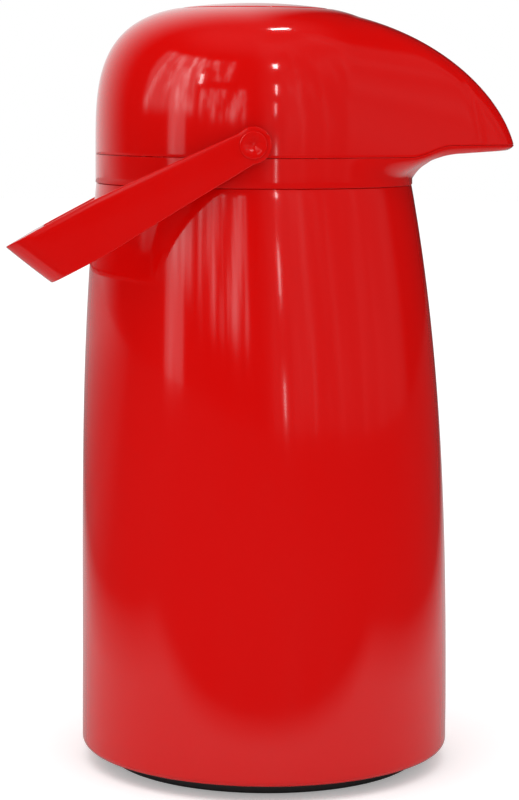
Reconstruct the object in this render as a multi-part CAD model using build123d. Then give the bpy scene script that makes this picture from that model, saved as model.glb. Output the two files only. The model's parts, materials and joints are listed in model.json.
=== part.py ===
from build123d import *
import os
from math import acos, cos, pi, radians, sin, sqrt

os.makedirs("parts", exist_ok=True)

# Pump pot in millimetres. Z is up, +X points along the spout and the handle turns about Y.
# The origin is the centre of the swivel foot, on the surface that the pot stands on.

# Body shell
body_bottom = 5.8
body_top = 224.0
belly_height = 20.0
belly_radius = 71.2
neck_radius = 60.3
neck_offset = -5.4
lean_power = 1.8
straight_share = 0.12
body_wall = 2.4
body_rim_round = 2.8
body_lip_height = 3.2
body_lip_radius = 66.2
neck_flange_thickness = 2.4
body_stations = 8

# Base plate, held by screws in bosses of the body shell
base_thickness = 2.6
base_gap = 0.2
base_screw_circle = 62.6
base_screw_count = 3
base_screw_start = 90.0
body_boss_radius = 6.4
body_boss_height = 13.0

# Small screws, all alike
screw_head_radius = 2.9
screw_head_height = 1.5
screw_shank_radius = 1.4
screw_length = 11.0
screw_gap = 0.1
slot_width = 0.8
slot_depth = 0.7

# Swivel foot
foot_radius = 60.7
foot_bottom = 0.8
foot_top = 5.4
foot_round = 1.0
pad_inner_radius = 50.0
pad_outer_radius = 57.0
pad_height = 2.4
stud_radius = 7.95
stud_bottom = 2.3
pivot_gap = 0.05
washer_radius = 12.0
washer_thickness = 0.8
washer_gap = 0.15
glide_inner_radius = 38.0
glide_outer_radius = 44.0
glide_height = 1.5
glide_bottom = 4.7

# Glass flask with double walls
flask_radius = 54.0
flask_glass = 1.6
flask_vacuum = 3.4
flask_bottom = 18.0
flask_tip_length = 5.0
flask_tip_radius = 4.0
flask_shoulder_bottom = body_top - 38
flask_neck_bottom = body_top - 13
flask_neck_radius = 33.2
flask_lip_height = 1.6
flask_top = body_top + 3.2
spacer_count = 3
spacer_size = 9.0
spacer_height = 58.0
spacer_gap = 0.15
cushion_outer_radius = 24.0
cushion_inner_radius = 9.0
cushion_height = 7.0
soft_gap = 0.2

# Threaded ring in the body's neck
ring_radius = 46.2
ring_wall = 2.8
ring_bore_gap = 0.3
ring_top = body_top + 6.4
ring_ledge_bottom = body_top - 7.6
ring_ledge_thickness = 2.0
ring_ledge_radius = 34.2
ring_flange_radius = 52.0
ring_flange_thickness = 2.5
ridge_height = 0.9
ridge_width = 1.2
ridge_pitch = 2.6
ridge_count = 2
ridge_start = body_top + 1.6
neck_gasket_radius = 42.8
neck_gasket_bottom = body_top - 19

# Head: collar below, dome with the beak above
seam_gap = 0.3
dome_seam = body_top + 11
dome_radius = neck_radius + seam_gap
dome_rise = 56.4
dome_power = 3.4
dome_wall = 2.4
beak_reach = 100.0
beak_power_up = 1.6
beak_power_out = 2.3
beak_tip_radius = 12.0
dome_top = dome_seam + 54.7
dome_stations = 11
lip_bottom = dome_seam + 2.4
lip_top = dome_seam + 4.3
lip_ramp_start = neck_offset + beak_reach - 41.6
lip_ramp_end = neck_offset + beak_reach - 25.6
lip_wall = 2.0
flare_bottom = body_top + 2.5
flare_rise = 4.0
flare_back = 12.0
underside_height = dome_seam + 1.2
underside_start = neck_offset + beak_reach - 21.1
collar_floor_bottom = body_top + 7
collar_floor_thickness = 2.2
collar_bore = 22.0
skirt_gap = 0.5
skirt_wall = 2.8
skirt_bottom = body_top + 1
dome_screw_circle = dome_radius - 6.3
dome_screw_count = 4
dome_screw_start = 45.0
boss_radius = 4.3
boss_gap = 0.1

# Stopper, riser and spout
stopper_gap = 0.6
stopper_taper = 1.4
stopper_bottom = body_top - 11
stopper_wall = 2.6
stopper_plate_bottom = body_top
stopper_flange_radius = 32.6
stopper_flange_bottom = body_top + 4.5
stopper_boss_radius = 21.8
gasket_thickness = 1.1
gasket_grip = 0.3
gasket_outer_radius = 32.8
tube_radius = 4.0
tube_bore = 2.8
tube_gap = 0.1
riser_bottom = 31.0
riser_seat = 3.0
housing_radius = 8.5
housing_top = body_top + 26
seat_thickness = 1.0
chamber_radius = 4.6
ball_radius = 3.4
ball_gap = 0.05
spout_height = body_top + 20.5
spout_root = 6.5
stub_length = 13.0
stub_radius = 5.4
nozzle_x = neck_offset + beak_reach - 14.6
nozzle_radius = 6.2
nozzle_top = lip_top + 9.9
nozzle_bottom = lip_bottom - 0.2
nozzle_socket = 9.0
nozzle_hole_gap = 0.4
air_tube_radius = 3.0
air_tube_bore = 1.9
air_tube_offset = 14.0
air_tube_bottom = body_top - 8

# Pump: bellows, spring and button
seat_bottom = body_top + 26.2
seat_height = 2.3
seat_radius = 44.0
post_circle = 39.0
post_count = 3
post_start = 60.0
post_radius = 4.2
bellows_height = 19.8
bellows_radius = 24.4
bellows_depth = 4.0
bellows_wall = 0.9
bellows_folds = 4
spring_radius = 6.5
spring_wire = 0.8
spring_turns = 5
flap_radius = 4.5
flap_thickness = 0.8
small_gap = 0.1
cap_radius = bellows_radius - 0.2
cap_thickness = 2.2
cap_boss_radius = 8.0
intake_offset = 13.0
intake_radius = 2.0
button_radius = 27.9
button_gap = 0.4
button_edge = dome_top + 0.4
button_crown = dome_top + 2.4
button_wall = 2.2
button_skirt_bottom = dome_top - 21.7
button_catch_height = 2.0
button_catch_radius = 29.6
sleeve_wall = 2.2
catch_gap = 0.3

# Carrying handle
pivot_height = dome_seam + 4.8
handle_gap = 0.7
handle_thickness = 4.4
handle_drop = 28.0
handle_hub_radius = 6.6
handle_length = dome_radius + 36.0
handle_end_upper = 9.0
handle_end_lower = 9.4
handle_end_slant = 8.3
handle_bulge_length = 58.0
handle_bulge = 9.3
handle_corner = 16.0
pin_radius = 3.0
pin_gap = 0.05
pin_inner_end = 50.0
pin_depth = 3.2
pin_boss_radius = 4.4
pin_boss_proud = 0.3

# Worked-out places
seam_bottom = body_top + seam_gap
base_bottom = body_bottom + base_gap
base_top = base_bottom + base_thickness
flask_inner_radius = flask_radius - flask_glass - flask_vacuum
collar_floor_top = collar_floor_bottom + collar_floor_thickness
seat_top = seat_bottom + seat_height
bellows_top = seat_top + bellows_height
mouth_radius = flask_neck_radius - 2 * flask_glass - flask_vacuum
stopper_radius = mouth_radius - stopper_gap
stopper_bottom_radius = stopper_radius - stopper_taper
pieces = {}


def save(name, shape):
    pieces[name] = shape


def disc(radius, low, high, x=0.0, y=0.0):
    cylinder = Cylinder(radius, high - low, align=(Align.CENTER, Align.CENTER, Align.MIN))
    return Pos(x, y, low) * cylinder


def ring(outer, inner, low, high, x=0.0):
    return disc(outer, low, high, x) - disc(inner, low - 1, high + 1, x)


def along_x(radius, start, end, height):
    rod = Cylinder(radius, end - start, align=(Align.CENTER, Align.CENTER, Align.MIN))
    return Pos(start, 0, height) * Rot(0, 90, 0) * rod


def along_y(radius, start, end, x, height):
    rod = Cylinder(radius, end - start, align=(Align.CENTER, Align.CENTER, Align.MIN))
    return Pos(x, start, height) * Rot(-90, 0, 0) * rod


def circle_places(count, start, radius, x=0.0):
    places = []
    for index in range(count):
        angle = radians(start + 360.0 * index / count)
        places.append((x + radius * cos(angle), radius * sin(angle)))
    return places


def turned(points, x=0.0):
    """Solid of revolution about the vertical line at x, from radius and height pairs."""
    outline = Polyline(*[(radius, 0, height) for radius, height in points], close=True)
    return Pos(x, 0, 0) * revolve(make_face(outline), Axis.Z)


def screw(x, y, head_low):
    """Screw with its slotted head below, pointing up."""
    head_high = head_low + screw_head_height
    solid = disc(screw_head_radius, head_low, head_high, x, y)
    solid += disc(screw_shank_radius, head_high, head_high + screw_length, x, y)
    slot = Box(2 * screw_head_radius, slot_width, 2 * slot_depth)
    return solid - Pos(x, y, head_low) * slot


def pilot(x, y, low):
    """Hole for a screw's shank that starts at low."""
    return disc(screw_shank_radius + screw_gap, low - 1, low + screw_length + 1, x, y)


# Body ---------------------------------------------------------------------------

def body_share(height):
    return max(0.0, (height - belly_height) / (body_top - belly_height))


def body_radius(height):
    share = body_share(height)
    taper = straight_share * share + (1 - straight_share) * share ** 3
    return belly_radius - (belly_radius - neck_radius) * taper


def body_center(height):
    return neck_offset * body_share(height) ** lean_power


def body_loft(inset, low, high):
    """Stack of circles that follows the leaning, tapering body."""
    heights = [low]
    for index in range(body_stations):
        height = belly_height + (body_top - belly_height) * index / (body_stations - 1)
        if low + 1 < height < high - 1:
            heights.append(height)
    heights.append(high)
    rounds = []
    for height in heights:
        place = Pos(body_center(height), 0, height)
        rounds.append(place * Circle(body_radius(height) - inset))
    return loft(rounds)


def make_body_shell():
    outer = body_loft(0, body_bottom, body_top)
    outer = fillet(outer.edges().sort_by(Axis.Z)[0], body_rim_round)
    inner = body_loft(body_wall, body_bottom + body_lip_height, body_top - neck_flange_thickness)
    shell = outer - inner
    shell -= disc(body_lip_radius, body_bottom - 1, body_bottom + body_lip_height + 1)
    shell -= disc(ring_radius + ring_bore_gap, ring_ledge_bottom, body_top + 1, neck_offset)
    boss_low = base_top + small_gap
    for x, y in circle_places(base_screw_count, base_screw_start, base_screw_circle):
        boss = disc(body_boss_radius, boss_low, boss_low + body_boss_height, x, y)
        shell += boss & body_loft(body_wall / 2, body_bottom, body_top)
    for x, y in circle_places(base_screw_count, base_screw_start, base_screw_circle):
        shell -= pilot(x, y, base_bottom + screw_head_height)
    save("body_shell", shell)


def make_base():
    plate = disc(body_lip_radius - base_gap, base_bottom, base_top)
    plate += disc(stud_radius, stud_bottom, base_bottom)
    cup_top = base_top + cushion_height
    cup_wall = body_wall
    cup_inner = cushion_outer_radius + small_gap
    plate += ring(cup_inner + cup_wall, cup_inner, base_top, cup_top, neck_offset)
    plate -= ring(glide_outer_radius + small_gap, glide_inner_radius - small_gap, base_bottom - 1,
                  glide_bottom + glide_height)
    for x, y in circle_places(base_screw_count, base_screw_start, base_screw_circle):
        plate -= disc(screw_head_radius + screw_gap, base_bottom - 1, base_bottom + screw_head_height, x, y)
        plate -= pilot(x, y, base_bottom)
    plate -= disc(screw_shank_radius + screw_gap, stud_bottom - 1, base_top + 1)
    save("base_plate", plate)

    screws = []
    for x, y in circle_places(base_screw_count, base_screw_start, base_screw_circle):
        screws.append(screw(x, y, base_bottom))
    save("base_screws", Compound(screws))
    glide = ring(glide_outer_radius, glide_inner_radius, glide_bottom, glide_bottom + glide_height)
    save("glide_ring", glide)
    washer_low = stud_bottom - washer_thickness
    save("swivel_washer", ring(washer_radius, screw_shank_radius + screw_gap, washer_low, stud_bottom))
    head_low = washer_low - washer_thickness
    head = disc(screw_head_radius + 1, head_low, washer_low)
    shank = disc(screw_shank_radius, washer_low, base_top - small_gap)
    groove = Pos(0, 0, head_low) * Box(2 * screw_head_radius, slot_width, slot_depth)
    save("swivel_screw", head + shank - groove)


def make_foot():
    foot = disc(foot_radius, foot_bottom, foot_top)
    foot = fillet(foot.edges().filter_by(GeomType.CIRCLE), foot_round)
    foot -= ring(pad_outer_radius + small_gap, pad_inner_radius - small_gap, foot_bottom - 1, pad_height)
    foot -= disc(stud_radius + pivot_gap, foot_bottom - 1, foot_top + 1)
    foot -= disc(washer_radius + 1, foot_bottom - 1, stud_bottom + washer_gap)
    foot -= ring(glide_outer_radius + 1, glide_inner_radius - 1, glide_bottom - pivot_gap, foot_top + 1)
    save("foot_disc", foot)
    save("grip_ring", ring(pad_outer_radius, pad_inner_radius, 0, pad_height))


# Flask --------------------------------------------------------------------------

def flask_side(inset):
    """Side of the flask in the plane of its axis, from the bottom pole to the neck's top."""
    radius = flask_radius - inset
    neck = flask_neck_radius - inset
    bottom = flask_bottom + inset
    dome_height = radius * 0.72
    base = EllipticalCenterArc((0, bottom + dome_height), radius, dome_height, start_angle=270, arc_size=90)
    wall = Line((radius, bottom + dome_height), (radius, flask_shoulder_bottom))
    shoulder = Bezier((radius, flask_shoulder_bottom), (radius, flask_neck_bottom - 7),
                      (neck, flask_neck_bottom - 14 + inset), (neck, flask_neck_bottom))
    return [base, wall, shoulder], neck, bottom


def flask_solid(inset, top):
    """Full solid inside one surface of the flask."""
    curves, neck, bottom = flask_side(inset)
    up = Line((neck, flask_neck_bottom), (neck, top))
    across = Line((neck, top), (0, top))
    down = Line((0, top), (0, bottom))
    face = make_face(curves + [up, across, down])
    return Pos(neck_offset, 0, 0) * revolve(Rot(90, 0, 0) * face, Axis.Z)


def make_flask():
    lip_low = flask_top - flask_lip_height
    outer = flask_solid(0, lip_low)
    tip_low = flask_bottom - flask_tip_length
    tip = Pos(neck_offset, 0, 0) * Cone(1.0, flask_tip_radius, flask_tip_length + flask_glass / 2,
                                        align=(Align.CENTER, Align.CENTER, Align.MIN)).moved(Pos(0, 0, tip_low))
    outer += tip
    outer -= flask_solid(flask_glass, lip_low + 1)
    save("flask_outer", outer)

    inset = flask_glass + flask_vacuum
    inner = flask_solid(inset, lip_low)
    inner += disc(flask_neck_radius, lip_low, flask_top, neck_offset)
    inner -= flask_solid(inset + flask_glass, flask_top + 1)
    save("flask_inner", inner)

    gap_inner = flask_inner_radius + spacer_gap
    gap_outer = flask_radius - flask_glass - spacer_gap
    shell = ring(gap_outer, gap_inner, spacer_height, spacer_height + spacer_size, neck_offset)
    pads = []
    for index in range(spacer_count):
        bar = Pos(gap_outer, 0, spacer_height) * Box(gap_outer, spacer_size, 4 * spacer_size)
        pads.append(shell & Pos(neck_offset, 0, 0) * Rot(0, 0, 360 * index / spacer_count) * bar)
    save("flask_spacers", Compound([solid for pad in pads for solid in pad.solids()]))

    room = flask_solid(-soft_gap, lip_low)
    cushion = ring(cushion_outer_radius, cushion_inner_radius, base_top, flask_bottom + cushion_height,
                   neck_offset)
    save("flask_cushion", cushion - room)
    gasket = ring(neck_gasket_radius, flask_neck_radius + soft_gap, neck_gasket_bottom, ring_ledge_bottom,
                  neck_offset)
    save("neck_gasket", gasket - room)


def make_neck_ring():
    bore = ring_radius - ring_wall
    flange_top = body_top - neck_flange_thickness
    neck = ring(ring_radius, bore, ring_ledge_bottom, ring_top, neck_offset)
    neck += ring(ring_radius, ring_ledge_radius, ring_ledge_bottom,
                 ring_ledge_bottom + ring_ledge_thickness, neck_offset)
    neck += ring(ring_flange_radius, bore, flange_top - ring_flange_thickness, flange_top, neck_offset)
    for index in range(ridge_count):
        low = ridge_start + index * ridge_pitch
        neck += ring(ring_radius + ridge_height, bore, low, low + ridge_width, neck_offset)
    save("neck_ring", neck)


# Head ---------------------------------------------------------------------------

def drop_outline(height, radius, reach, tip):
    """Horizontal outline: a circle about the head's axis and, past it, a pointed beak with straight sides."""
    if reach <= radius + small_gap:
        turn = radians(12)
        low = radians(5)
        nose = radius
        beak_end = (nose, 0)
        corner = (radius * cos(low), radius * sin(low))
        joint = (radius * cos(turn), radius * sin(turn))
        middle = (radius * cos((turn + low) / 2), radius * sin((turn + low) / 2))
        side = ThreePointArc(corner, middle, joint)
        other = ThreePointArc((joint[0], -joint[1]), (middle[0], -middle[1]), (corner[0], -corner[1]))
    else:
        shift = reach - tip
        turn = acos((radius - tip) / shift)
        beak_end = (reach, 0)
        corner = (shift + tip * cos(turn), tip * sin(turn))
        joint = (radius * cos(turn), radius * sin(turn))
        side = Line(corner, joint)
        other = Line((joint[0], -joint[1]), (corner[0], -corner[1]))
    back = ThreePointArc(joint, (-radius, 0), (joint[0], -joint[1]))
    front = ThreePointArc((corner[0], -corner[1]), beak_end, corner)
    return Pos(neck_offset, 0, height) * make_face([front, side, back, other])


def tip_radius_at(radius, share, inset):
    """Beak's end: sharp where the beak is longest, as round as the dome where it dies out."""
    full = radius + inset
    return full - (full - beak_tip_radius) * sqrt(share) - inset


def dome_section(height, inset):
    """Outline of the dome at one height, an inset inside its outer surface."""
    rise = dome_rise - inset
    level = max(0.0, (height - dome_seam) / rise)
    radius = (dome_radius - inset) * (1 - level ** dome_power) ** (1 / dome_power)
    reach = (beak_reach - inset) * (1 - level ** beak_power_up) ** (1 / beak_power_out)
    share = max(0.0, (reach - radius) / (beak_reach - dome_radius))
    return drop_outline(height, radius, reach, tip_radius_at(radius, share, inset))


def dome_loft(inset):
    top = dome_top - inset
    sections = [dome_section(dome_seam, inset)]
    for index in range(1, dome_stations + 1):
        share = sin(pi / 2 * index / dome_stations)
        sections.append(dome_section(dome_seam + (top - dome_seam) * share, inset))
    return loft(sections, ruled=True)


def seam_side(rise, high):
    """Side view of the space above the seam, which climbs under the beak, pulled out across the head."""
    front = beak_reach + neck_offset + 5
    back = neck_offset - dome_radius - 5
    start = (lip_ramp_start, dome_seam + rise)
    end = (lip_ramp_end, lip_top + rise)
    middle = (start[0] + end[0]) / 2
    ramp = Bezier(start, (middle, start[1]), (middle, end[1]), end)
    rest = Polyline(end, (front, end[1]), (front, high), (back, high), (back, start[1]), start)
    face = Rot(90, 0, 0) * make_face([ramp, rest])
    return extrude(face, amount=dome_radius + 5, both=True)


def flare_body(inset):
    """Collar's sides under the beak, flaring from its own circle to the dome's outline at the seam."""
    radius = dome_radius - inset - seam_gap
    seam = dome_seam - seam_gap
    low = drop_outline(flare_bottom, radius, radius, radius)
    high = drop_outline(seam, radius, beak_reach - inset, beak_tip_radius - inset)
    return loft([low, high], ruled=True) + extrude(high, amount=lip_top + flare_rise - seam)


def underside(raised):
    """Side view of the space above the beak's underside, pulled out across the head."""
    start = (neck_offset + dome_radius - raised, flare_bottom + raised)
    shelf = (underside_start, underside_height + raised)
    front = (beak_reach + neck_offset + flare_rise, lip_bottom + raised)
    high = lip_top + 2 * flare_rise
    curve = Spline(start, shelf, tangents=[(0, 1), (1, 0)])
    rest = Polyline(shelf, front, (front[0], high), (flare_back, high), (flare_back, start[1]), start)
    face = Rot(90, 0, 0) * make_face([curve, rest])
    return extrude(face, amount=dome_radius + flare_rise, both=True)


def beak_base(inset):
    return flare_body(inset) & underside(inset)


def make_collar():
    collar = ring(dome_radius, dome_radius - dome_wall, seam_bottom, dome_seam, neck_offset)
    flare = beak_base(0) - beak_base(lip_wall)
    flare -= disc(dome_radius - dome_wall, flare_bottom - 1, dome_seam + dome_rise, neck_offset)
    collar += flare
    collar -= seam_side(-seam_gap, dome_seam + dome_rise)
    collar += ring(dome_radius - dome_wall / 2, collar_bore, collar_floor_bottom, collar_floor_top, neck_offset)
    skirt_bore = ring_radius + ridge_height + skirt_gap
    collar += ring(skirt_bore + skirt_wall, skirt_bore, skirt_bottom, collar_floor_bottom, neck_offset)
    for x, y in head_screw_places():
        collar -= pilot(x, y, collar_floor_bottom)
    collar -= disc(nozzle_radius + nozzle_hole_gap, flare_bottom, lip_top + 5, nozzle_x)
    save("collar", collar)


def head_screw_places():
    posts = circle_places(post_count, post_start, post_circle, neck_offset)
    bosses = circle_places(dome_screw_count, dome_screw_start, dome_screw_circle, neck_offset)
    return posts + bosses


def make_dome():
    outer = dome_loft(0)
    dome = (outer - dome_loft(dome_wall)) & seam_side(0, dome_seam + dome_rise)
    sleeve_inner = button_radius + button_gap
    sleeve_low = button_skirt_bottom + button_catch_height + catch_gap
    dome += ring(sleeve_inner + sleeve_wall, sleeve_inner, sleeve_low, dome_top, neck_offset)
    boss_low = collar_floor_top + boss_gap
    screw_top = collar_floor_bottom + screw_length + 2
    for x, y in circle_places(dome_screw_count, dome_screw_start, dome_screw_circle, neck_offset):
        boss = disc(boss_radius, dome_seam, dome_top, x, y) & outer
        dome += boss + disc(boss_radius - dome_wall / 2, boss_low, dome_seam + 1, x, y)
    for side in (-1, 1):
        low, high = sorted((side * pin_inner_end, side * (dome_radius + pin_boss_proud)))
        dome += along_y(pin_boss_radius, low, high, neck_offset, pivot_height)
        low, high = sorted((side * (pin_inner_end - 1), side * (dome_radius + 2)))
        dome -= along_y(pin_radius, low, high, neck_offset, pivot_height)
    for x, y in circle_places(dome_screw_count, dome_screw_start, dome_screw_circle, neck_offset):
        dome -= disc(screw_shank_radius + screw_gap, boss_low - 1, screw_top, x, y)
    dome -= disc(sleeve_inner, sleeve_low - 1, dome_top + 5, neck_offset)
    save("dome", dome)

    pins = []
    for side in (-1, 1):
        reach = dome_radius + handle_gap + pin_depth
        low, high = sorted((side * pin_inner_end, side * reach))
        pins.append(along_y(pin_radius, low, high, neck_offset, pivot_height))
    save("handle_pins", Compound(pins))
    screws = [screw(x, y, collar_floor_bottom - screw_head_height) for x, y in head_screw_places()]
    save("head_screws", Compound(screws))


def make_stopper():
    lower = turned([
        (0, stopper_bottom), (stopper_bottom_radius, stopper_bottom), (stopper_radius, stopper_plate_bottom),
        (stopper_radius, stopper_flange_bottom), (stopper_flange_radius, stopper_flange_bottom),
        (stopper_flange_radius, collar_floor_bottom), (stopper_boss_radius, collar_floor_bottom),
        (stopper_boss_radius, collar_floor_top), (0, collar_floor_top)], neck_offset)
    pocket = disc(stopper_bottom_radius - stopper_wall, stopper_bottom - 1, stopper_plate_bottom, neck_offset)
    pocket -= disc(tube_radius + stopper_wall, stopper_bottom - 2, stopper_plate_bottom + 1, neck_offset)
    lower -= pocket
    lower -= disc(tube_radius + tube_gap, stopper_bottom - 1, collar_floor_top + 1, neck_offset)
    air_x = neck_offset - air_tube_offset
    lower -= disc(air_tube_radius + tube_gap, stopper_bottom - 1, collar_floor_top + 1, air_x)
    save("stopper", lower)
    gasket_low = stopper_flange_bottom - gasket_thickness
    gasket = ring(gasket_outer_radius, stopper_radius + gasket_grip, gasket_low, stopper_flange_bottom,
                  neck_offset)
    save("stopper_gasket", gasket)


def make_waterway():
    riser_top = collar_floor_top + riser_seat
    riser = ring(tube_radius, tube_bore, riser_bottom, riser_top, neck_offset)
    save("riser_tube", riser)

    chamber_low = riser_top + seat_thickness
    chamber_top = housing_top - seat_thickness
    housing = disc(housing_radius, collar_floor_top, housing_top, neck_offset)
    stub_end = neck_offset + stub_length
    housing += along_x(stub_radius, neck_offset, stub_end, spout_height)
    housing -= disc(tube_radius + tube_gap, collar_floor_top - 1, riser_top, neck_offset)
    housing -= disc(tube_bore, riser_top - 1, chamber_low + 1, neck_offset)
    housing -= disc(chamber_radius, chamber_low, chamber_top, neck_offset)
    housing -= along_x(tube_bore, neck_offset, stub_end + 1, spout_height)
    housing -= along_x(tube_radius + tube_gap, neck_offset + spout_root, stub_end + 1, spout_height)
    save("valve_housing", housing)

    ball_height = chamber_low + sqrt((ball_radius + ball_gap) ** 2 - tube_bore ** 2)
    save("valve_ball", Pos(neck_offset, 0, ball_height) * Sphere(ball_radius))

    tube_start = neck_offset + spout_root + small_gap
    tube_end = nozzle_x - nozzle_radius / 2
    spout = along_x(tube_radius, tube_start, tube_end, spout_height)
    spout -= along_x(tube_bore, tube_start - 1, tube_end + 1, spout_height)
    save("spout_tube", spout)

    nozzle = disc(nozzle_radius, nozzle_bottom, nozzle_top, nozzle_x)
    socket_start = nozzle_x - nozzle_radius - nozzle_socket
    nozzle += along_x(stub_radius - 1, socket_start, nozzle_x, spout_height)
    nozzle -= along_x(tube_radius + tube_gap, socket_start - 1, tube_end + small_gap, spout_height)
    nozzle -= along_x(tube_bore, socket_start, nozzle_x, spout_height)
    nozzle -= disc(tube_bore, nozzle_bottom - 1, spout_height, nozzle_x)
    save("spout_nozzle", nozzle)

    air_x = neck_offset - air_tube_offset
    save("air_tube", ring(air_tube_radius, air_tube_bore, air_tube_bottom, seat_top, air_x))


# Pump ---------------------------------------------------------------------------

def make_pump():
    seat = disc(seat_radius, seat_bottom, seat_top, neck_offset)
    post_low = collar_floor_top + boss_gap
    for x, y in circle_places(post_count, post_start, post_circle, neck_offset):
        seat += disc(post_radius, post_low, seat_top, x, y)
        seat -= disc(screw_shank_radius + screw_gap, post_low - 1, collar_floor_bottom + screw_length + 2, x, y)
    air_x = neck_offset - air_tube_offset
    seat -= disc(air_tube_radius + tube_gap, seat_bottom - 1, seat_top + 1, air_x)
    save("bellows_seat", seat)
    flap_low = seat_top + small_gap
    save("air_flap", disc(flap_radius, flap_low, flap_low + flap_thickness, air_x))

    outside = []
    inside = []
    fold = bellows_height / bellows_folds
    for index in range(2 * bellows_folds + 1):
        height = seat_top + fold * index / 2
        radius = bellows_radius if index % 2 else bellows_radius - bellows_depth
        outside.append((radius, height))
        inside.append((radius - bellows_wall, height))
    save("bellows", turned(outside + inside[::-1], neck_offset))

    wire_gap = spring_wire + small_gap
    coil_height = bellows_height - 2 * wire_gap
    path = Helix(coil_height / spring_turns, coil_height, spring_radius)
    wire = sweep(Plane(path @ 0, z_dir=path % 0) * Circle(spring_wire), path=path, is_frenet=True)
    save("return_spring", Pos(neck_offset, 0, seat_top + wire_gap) * wire)


def make_button():
    crown_rise = button_crown - button_edge
    bend = (button_radius ** 2 + crown_rise ** 2) / (2 * crown_rise)
    crown = Pos(neck_offset, 0, button_crown - bend) * Sphere(bend)
    block = disc(button_radius, button_skirt_bottom, button_crown + 1, neck_offset)
    block = block & (crown + disc(button_radius + 1, 0, button_edge - crown_rise, neck_offset))
    hollow = disc(button_radius - button_wall, button_skirt_bottom - 1, button_edge - button_wall, neck_offset)
    catch_high = button_skirt_bottom + button_catch_height
    catch = ring(button_catch_radius, button_radius - button_wall, button_skirt_bottom, catch_high, neck_offset)
    save("push_button", block - hollow + catch)

    cap_low = bellows_top + small_gap
    cap_high = cap_low + cap_thickness
    cap = disc(cap_radius, cap_low, cap_high, neck_offset)
    cap += ring(cap_boss_radius, cap_boss_radius - button_wall, cap_high,
                button_edge - button_wall - small_gap, neck_offset)
    intake_x = neck_offset + intake_offset
    cap -= disc(intake_radius, cap_low - 1, cap_high + 1, intake_x)
    save("bellows_cap", cap)
    flap = disc(flap_radius, cap_low - small_gap - flap_thickness, cap_low - small_gap, intake_x)
    save("intake_flap", flap)


# Handle -------------------------------------------------------------------------

def make_handle():
    """U-shaped strap, drawn pointing along +X with its hub at the origin, then swung to its resting place."""
    inner_half = dome_radius + handle_gap
    outer_half = inner_half + handle_thickness
    mid_reach = handle_length - handle_end_slant / 2
    back = -handle_hub_radius - 5
    slant = handle_end_slant / (handle_end_upper + handle_end_lower)
    depth = 2 * (handle_end_upper + handle_end_lower)
    band_dir = Vector(slant, 0, 1)

    def plan(half, reach, corner):
        block = Polyline((back, -half), (reach, -half), (reach, half), (back, half), close=True)
        face = make_face(block)
        corners = face.vertices().sort_by(Axis.X)[-2:]
        return fillet(corners, corner)

    end_thickness = handle_thickness * sqrt(1 + slant ** 2)
    reach = mid_reach
    sheet = plan(outer_half, reach, handle_corner)
    sheet -= plan(inner_half, reach - end_thickness, handle_corner - handle_thickness)
    strap = extrude(Pos(0, 0, -depth / 2) * Pos(-slant * depth / 2, 0, 0) * sheet, amount=depth, dir=band_dir)

    upper_end = handle_length + 5 * slant
    lower_end = handle_length - handle_end_slant - 5 * slant
    side = make_face(Polyline(
        (0, handle_hub_radius - 0.6), (handle_bulge_length, handle_bulge), (handle_length, handle_end_upper),
        (upper_end + 20, handle_end_upper), (lower_end + 20, -handle_end_lower),
        (handle_length * 0.72, -handle_end_lower), (0, 0.6 - handle_hub_radius), close=True))
    side += Circle(handle_hub_radius)
    profile = extrude(Rot(90, 0, 0) * side, amount=outer_half + 5, both=True)
    strap = strap & profile
    for hand in (-1, 1):
        low, high = sorted((hand * (inner_half - 1), hand * (inner_half + pin_depth + small_gap)))
        strap -= along_y(pin_radius + pin_gap, low, high, 0, 0)
    swing = Rot(0, 180 - handle_drop, 0)
    save("handle", Pos(neck_offset, 0, pivot_height) * swing * Rot(180, 0, 0) * strap)


make_body_shell()
make_base()
make_foot()
make_flask()
make_neck_ring()
make_collar()
make_dome()
make_stopper()
make_waterway()
make_pump()
make_button()
make_handle()

for name, shape in pieces.items():
    export_step(shape, f"parts/{name}.step")
    print(name, len(shape.solids()), round(shape.volume, 1))
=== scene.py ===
import bpy
import bmesh
import json
from math import acos, atan2, cos, pi, radians, sin, sqrt, tan
from mathutils import Matrix, Vector


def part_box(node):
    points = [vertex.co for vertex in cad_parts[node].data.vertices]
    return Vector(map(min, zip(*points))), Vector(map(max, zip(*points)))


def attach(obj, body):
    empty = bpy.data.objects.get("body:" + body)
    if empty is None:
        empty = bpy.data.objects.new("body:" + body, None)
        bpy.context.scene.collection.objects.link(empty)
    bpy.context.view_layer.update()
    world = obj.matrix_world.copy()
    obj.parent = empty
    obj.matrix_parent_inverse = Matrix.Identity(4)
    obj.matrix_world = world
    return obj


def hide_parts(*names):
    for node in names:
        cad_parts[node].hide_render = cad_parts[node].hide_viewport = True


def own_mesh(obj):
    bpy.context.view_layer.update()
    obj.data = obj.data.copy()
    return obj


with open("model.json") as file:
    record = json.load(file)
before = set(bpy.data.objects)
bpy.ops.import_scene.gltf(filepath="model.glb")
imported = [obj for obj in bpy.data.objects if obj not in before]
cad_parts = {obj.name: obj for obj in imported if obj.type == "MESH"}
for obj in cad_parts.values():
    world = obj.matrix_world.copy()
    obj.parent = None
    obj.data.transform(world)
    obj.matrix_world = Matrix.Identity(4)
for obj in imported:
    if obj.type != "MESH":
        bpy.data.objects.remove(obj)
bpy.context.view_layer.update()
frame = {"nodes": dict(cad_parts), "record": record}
nodes = frame["nodes"]
print("frame loaded:", len(nodes), "pieces")

mm = 0.001


# ---- small tools used by every piece

def middle(node):
    low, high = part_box(node)
    return (low + high) / 2


def smooth(value):
    value = min(1.0, max(0.0, value))
    return value * value * (3 - 2 * value)


def mix(a, b, share):
    return a + (b - a) * share


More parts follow.
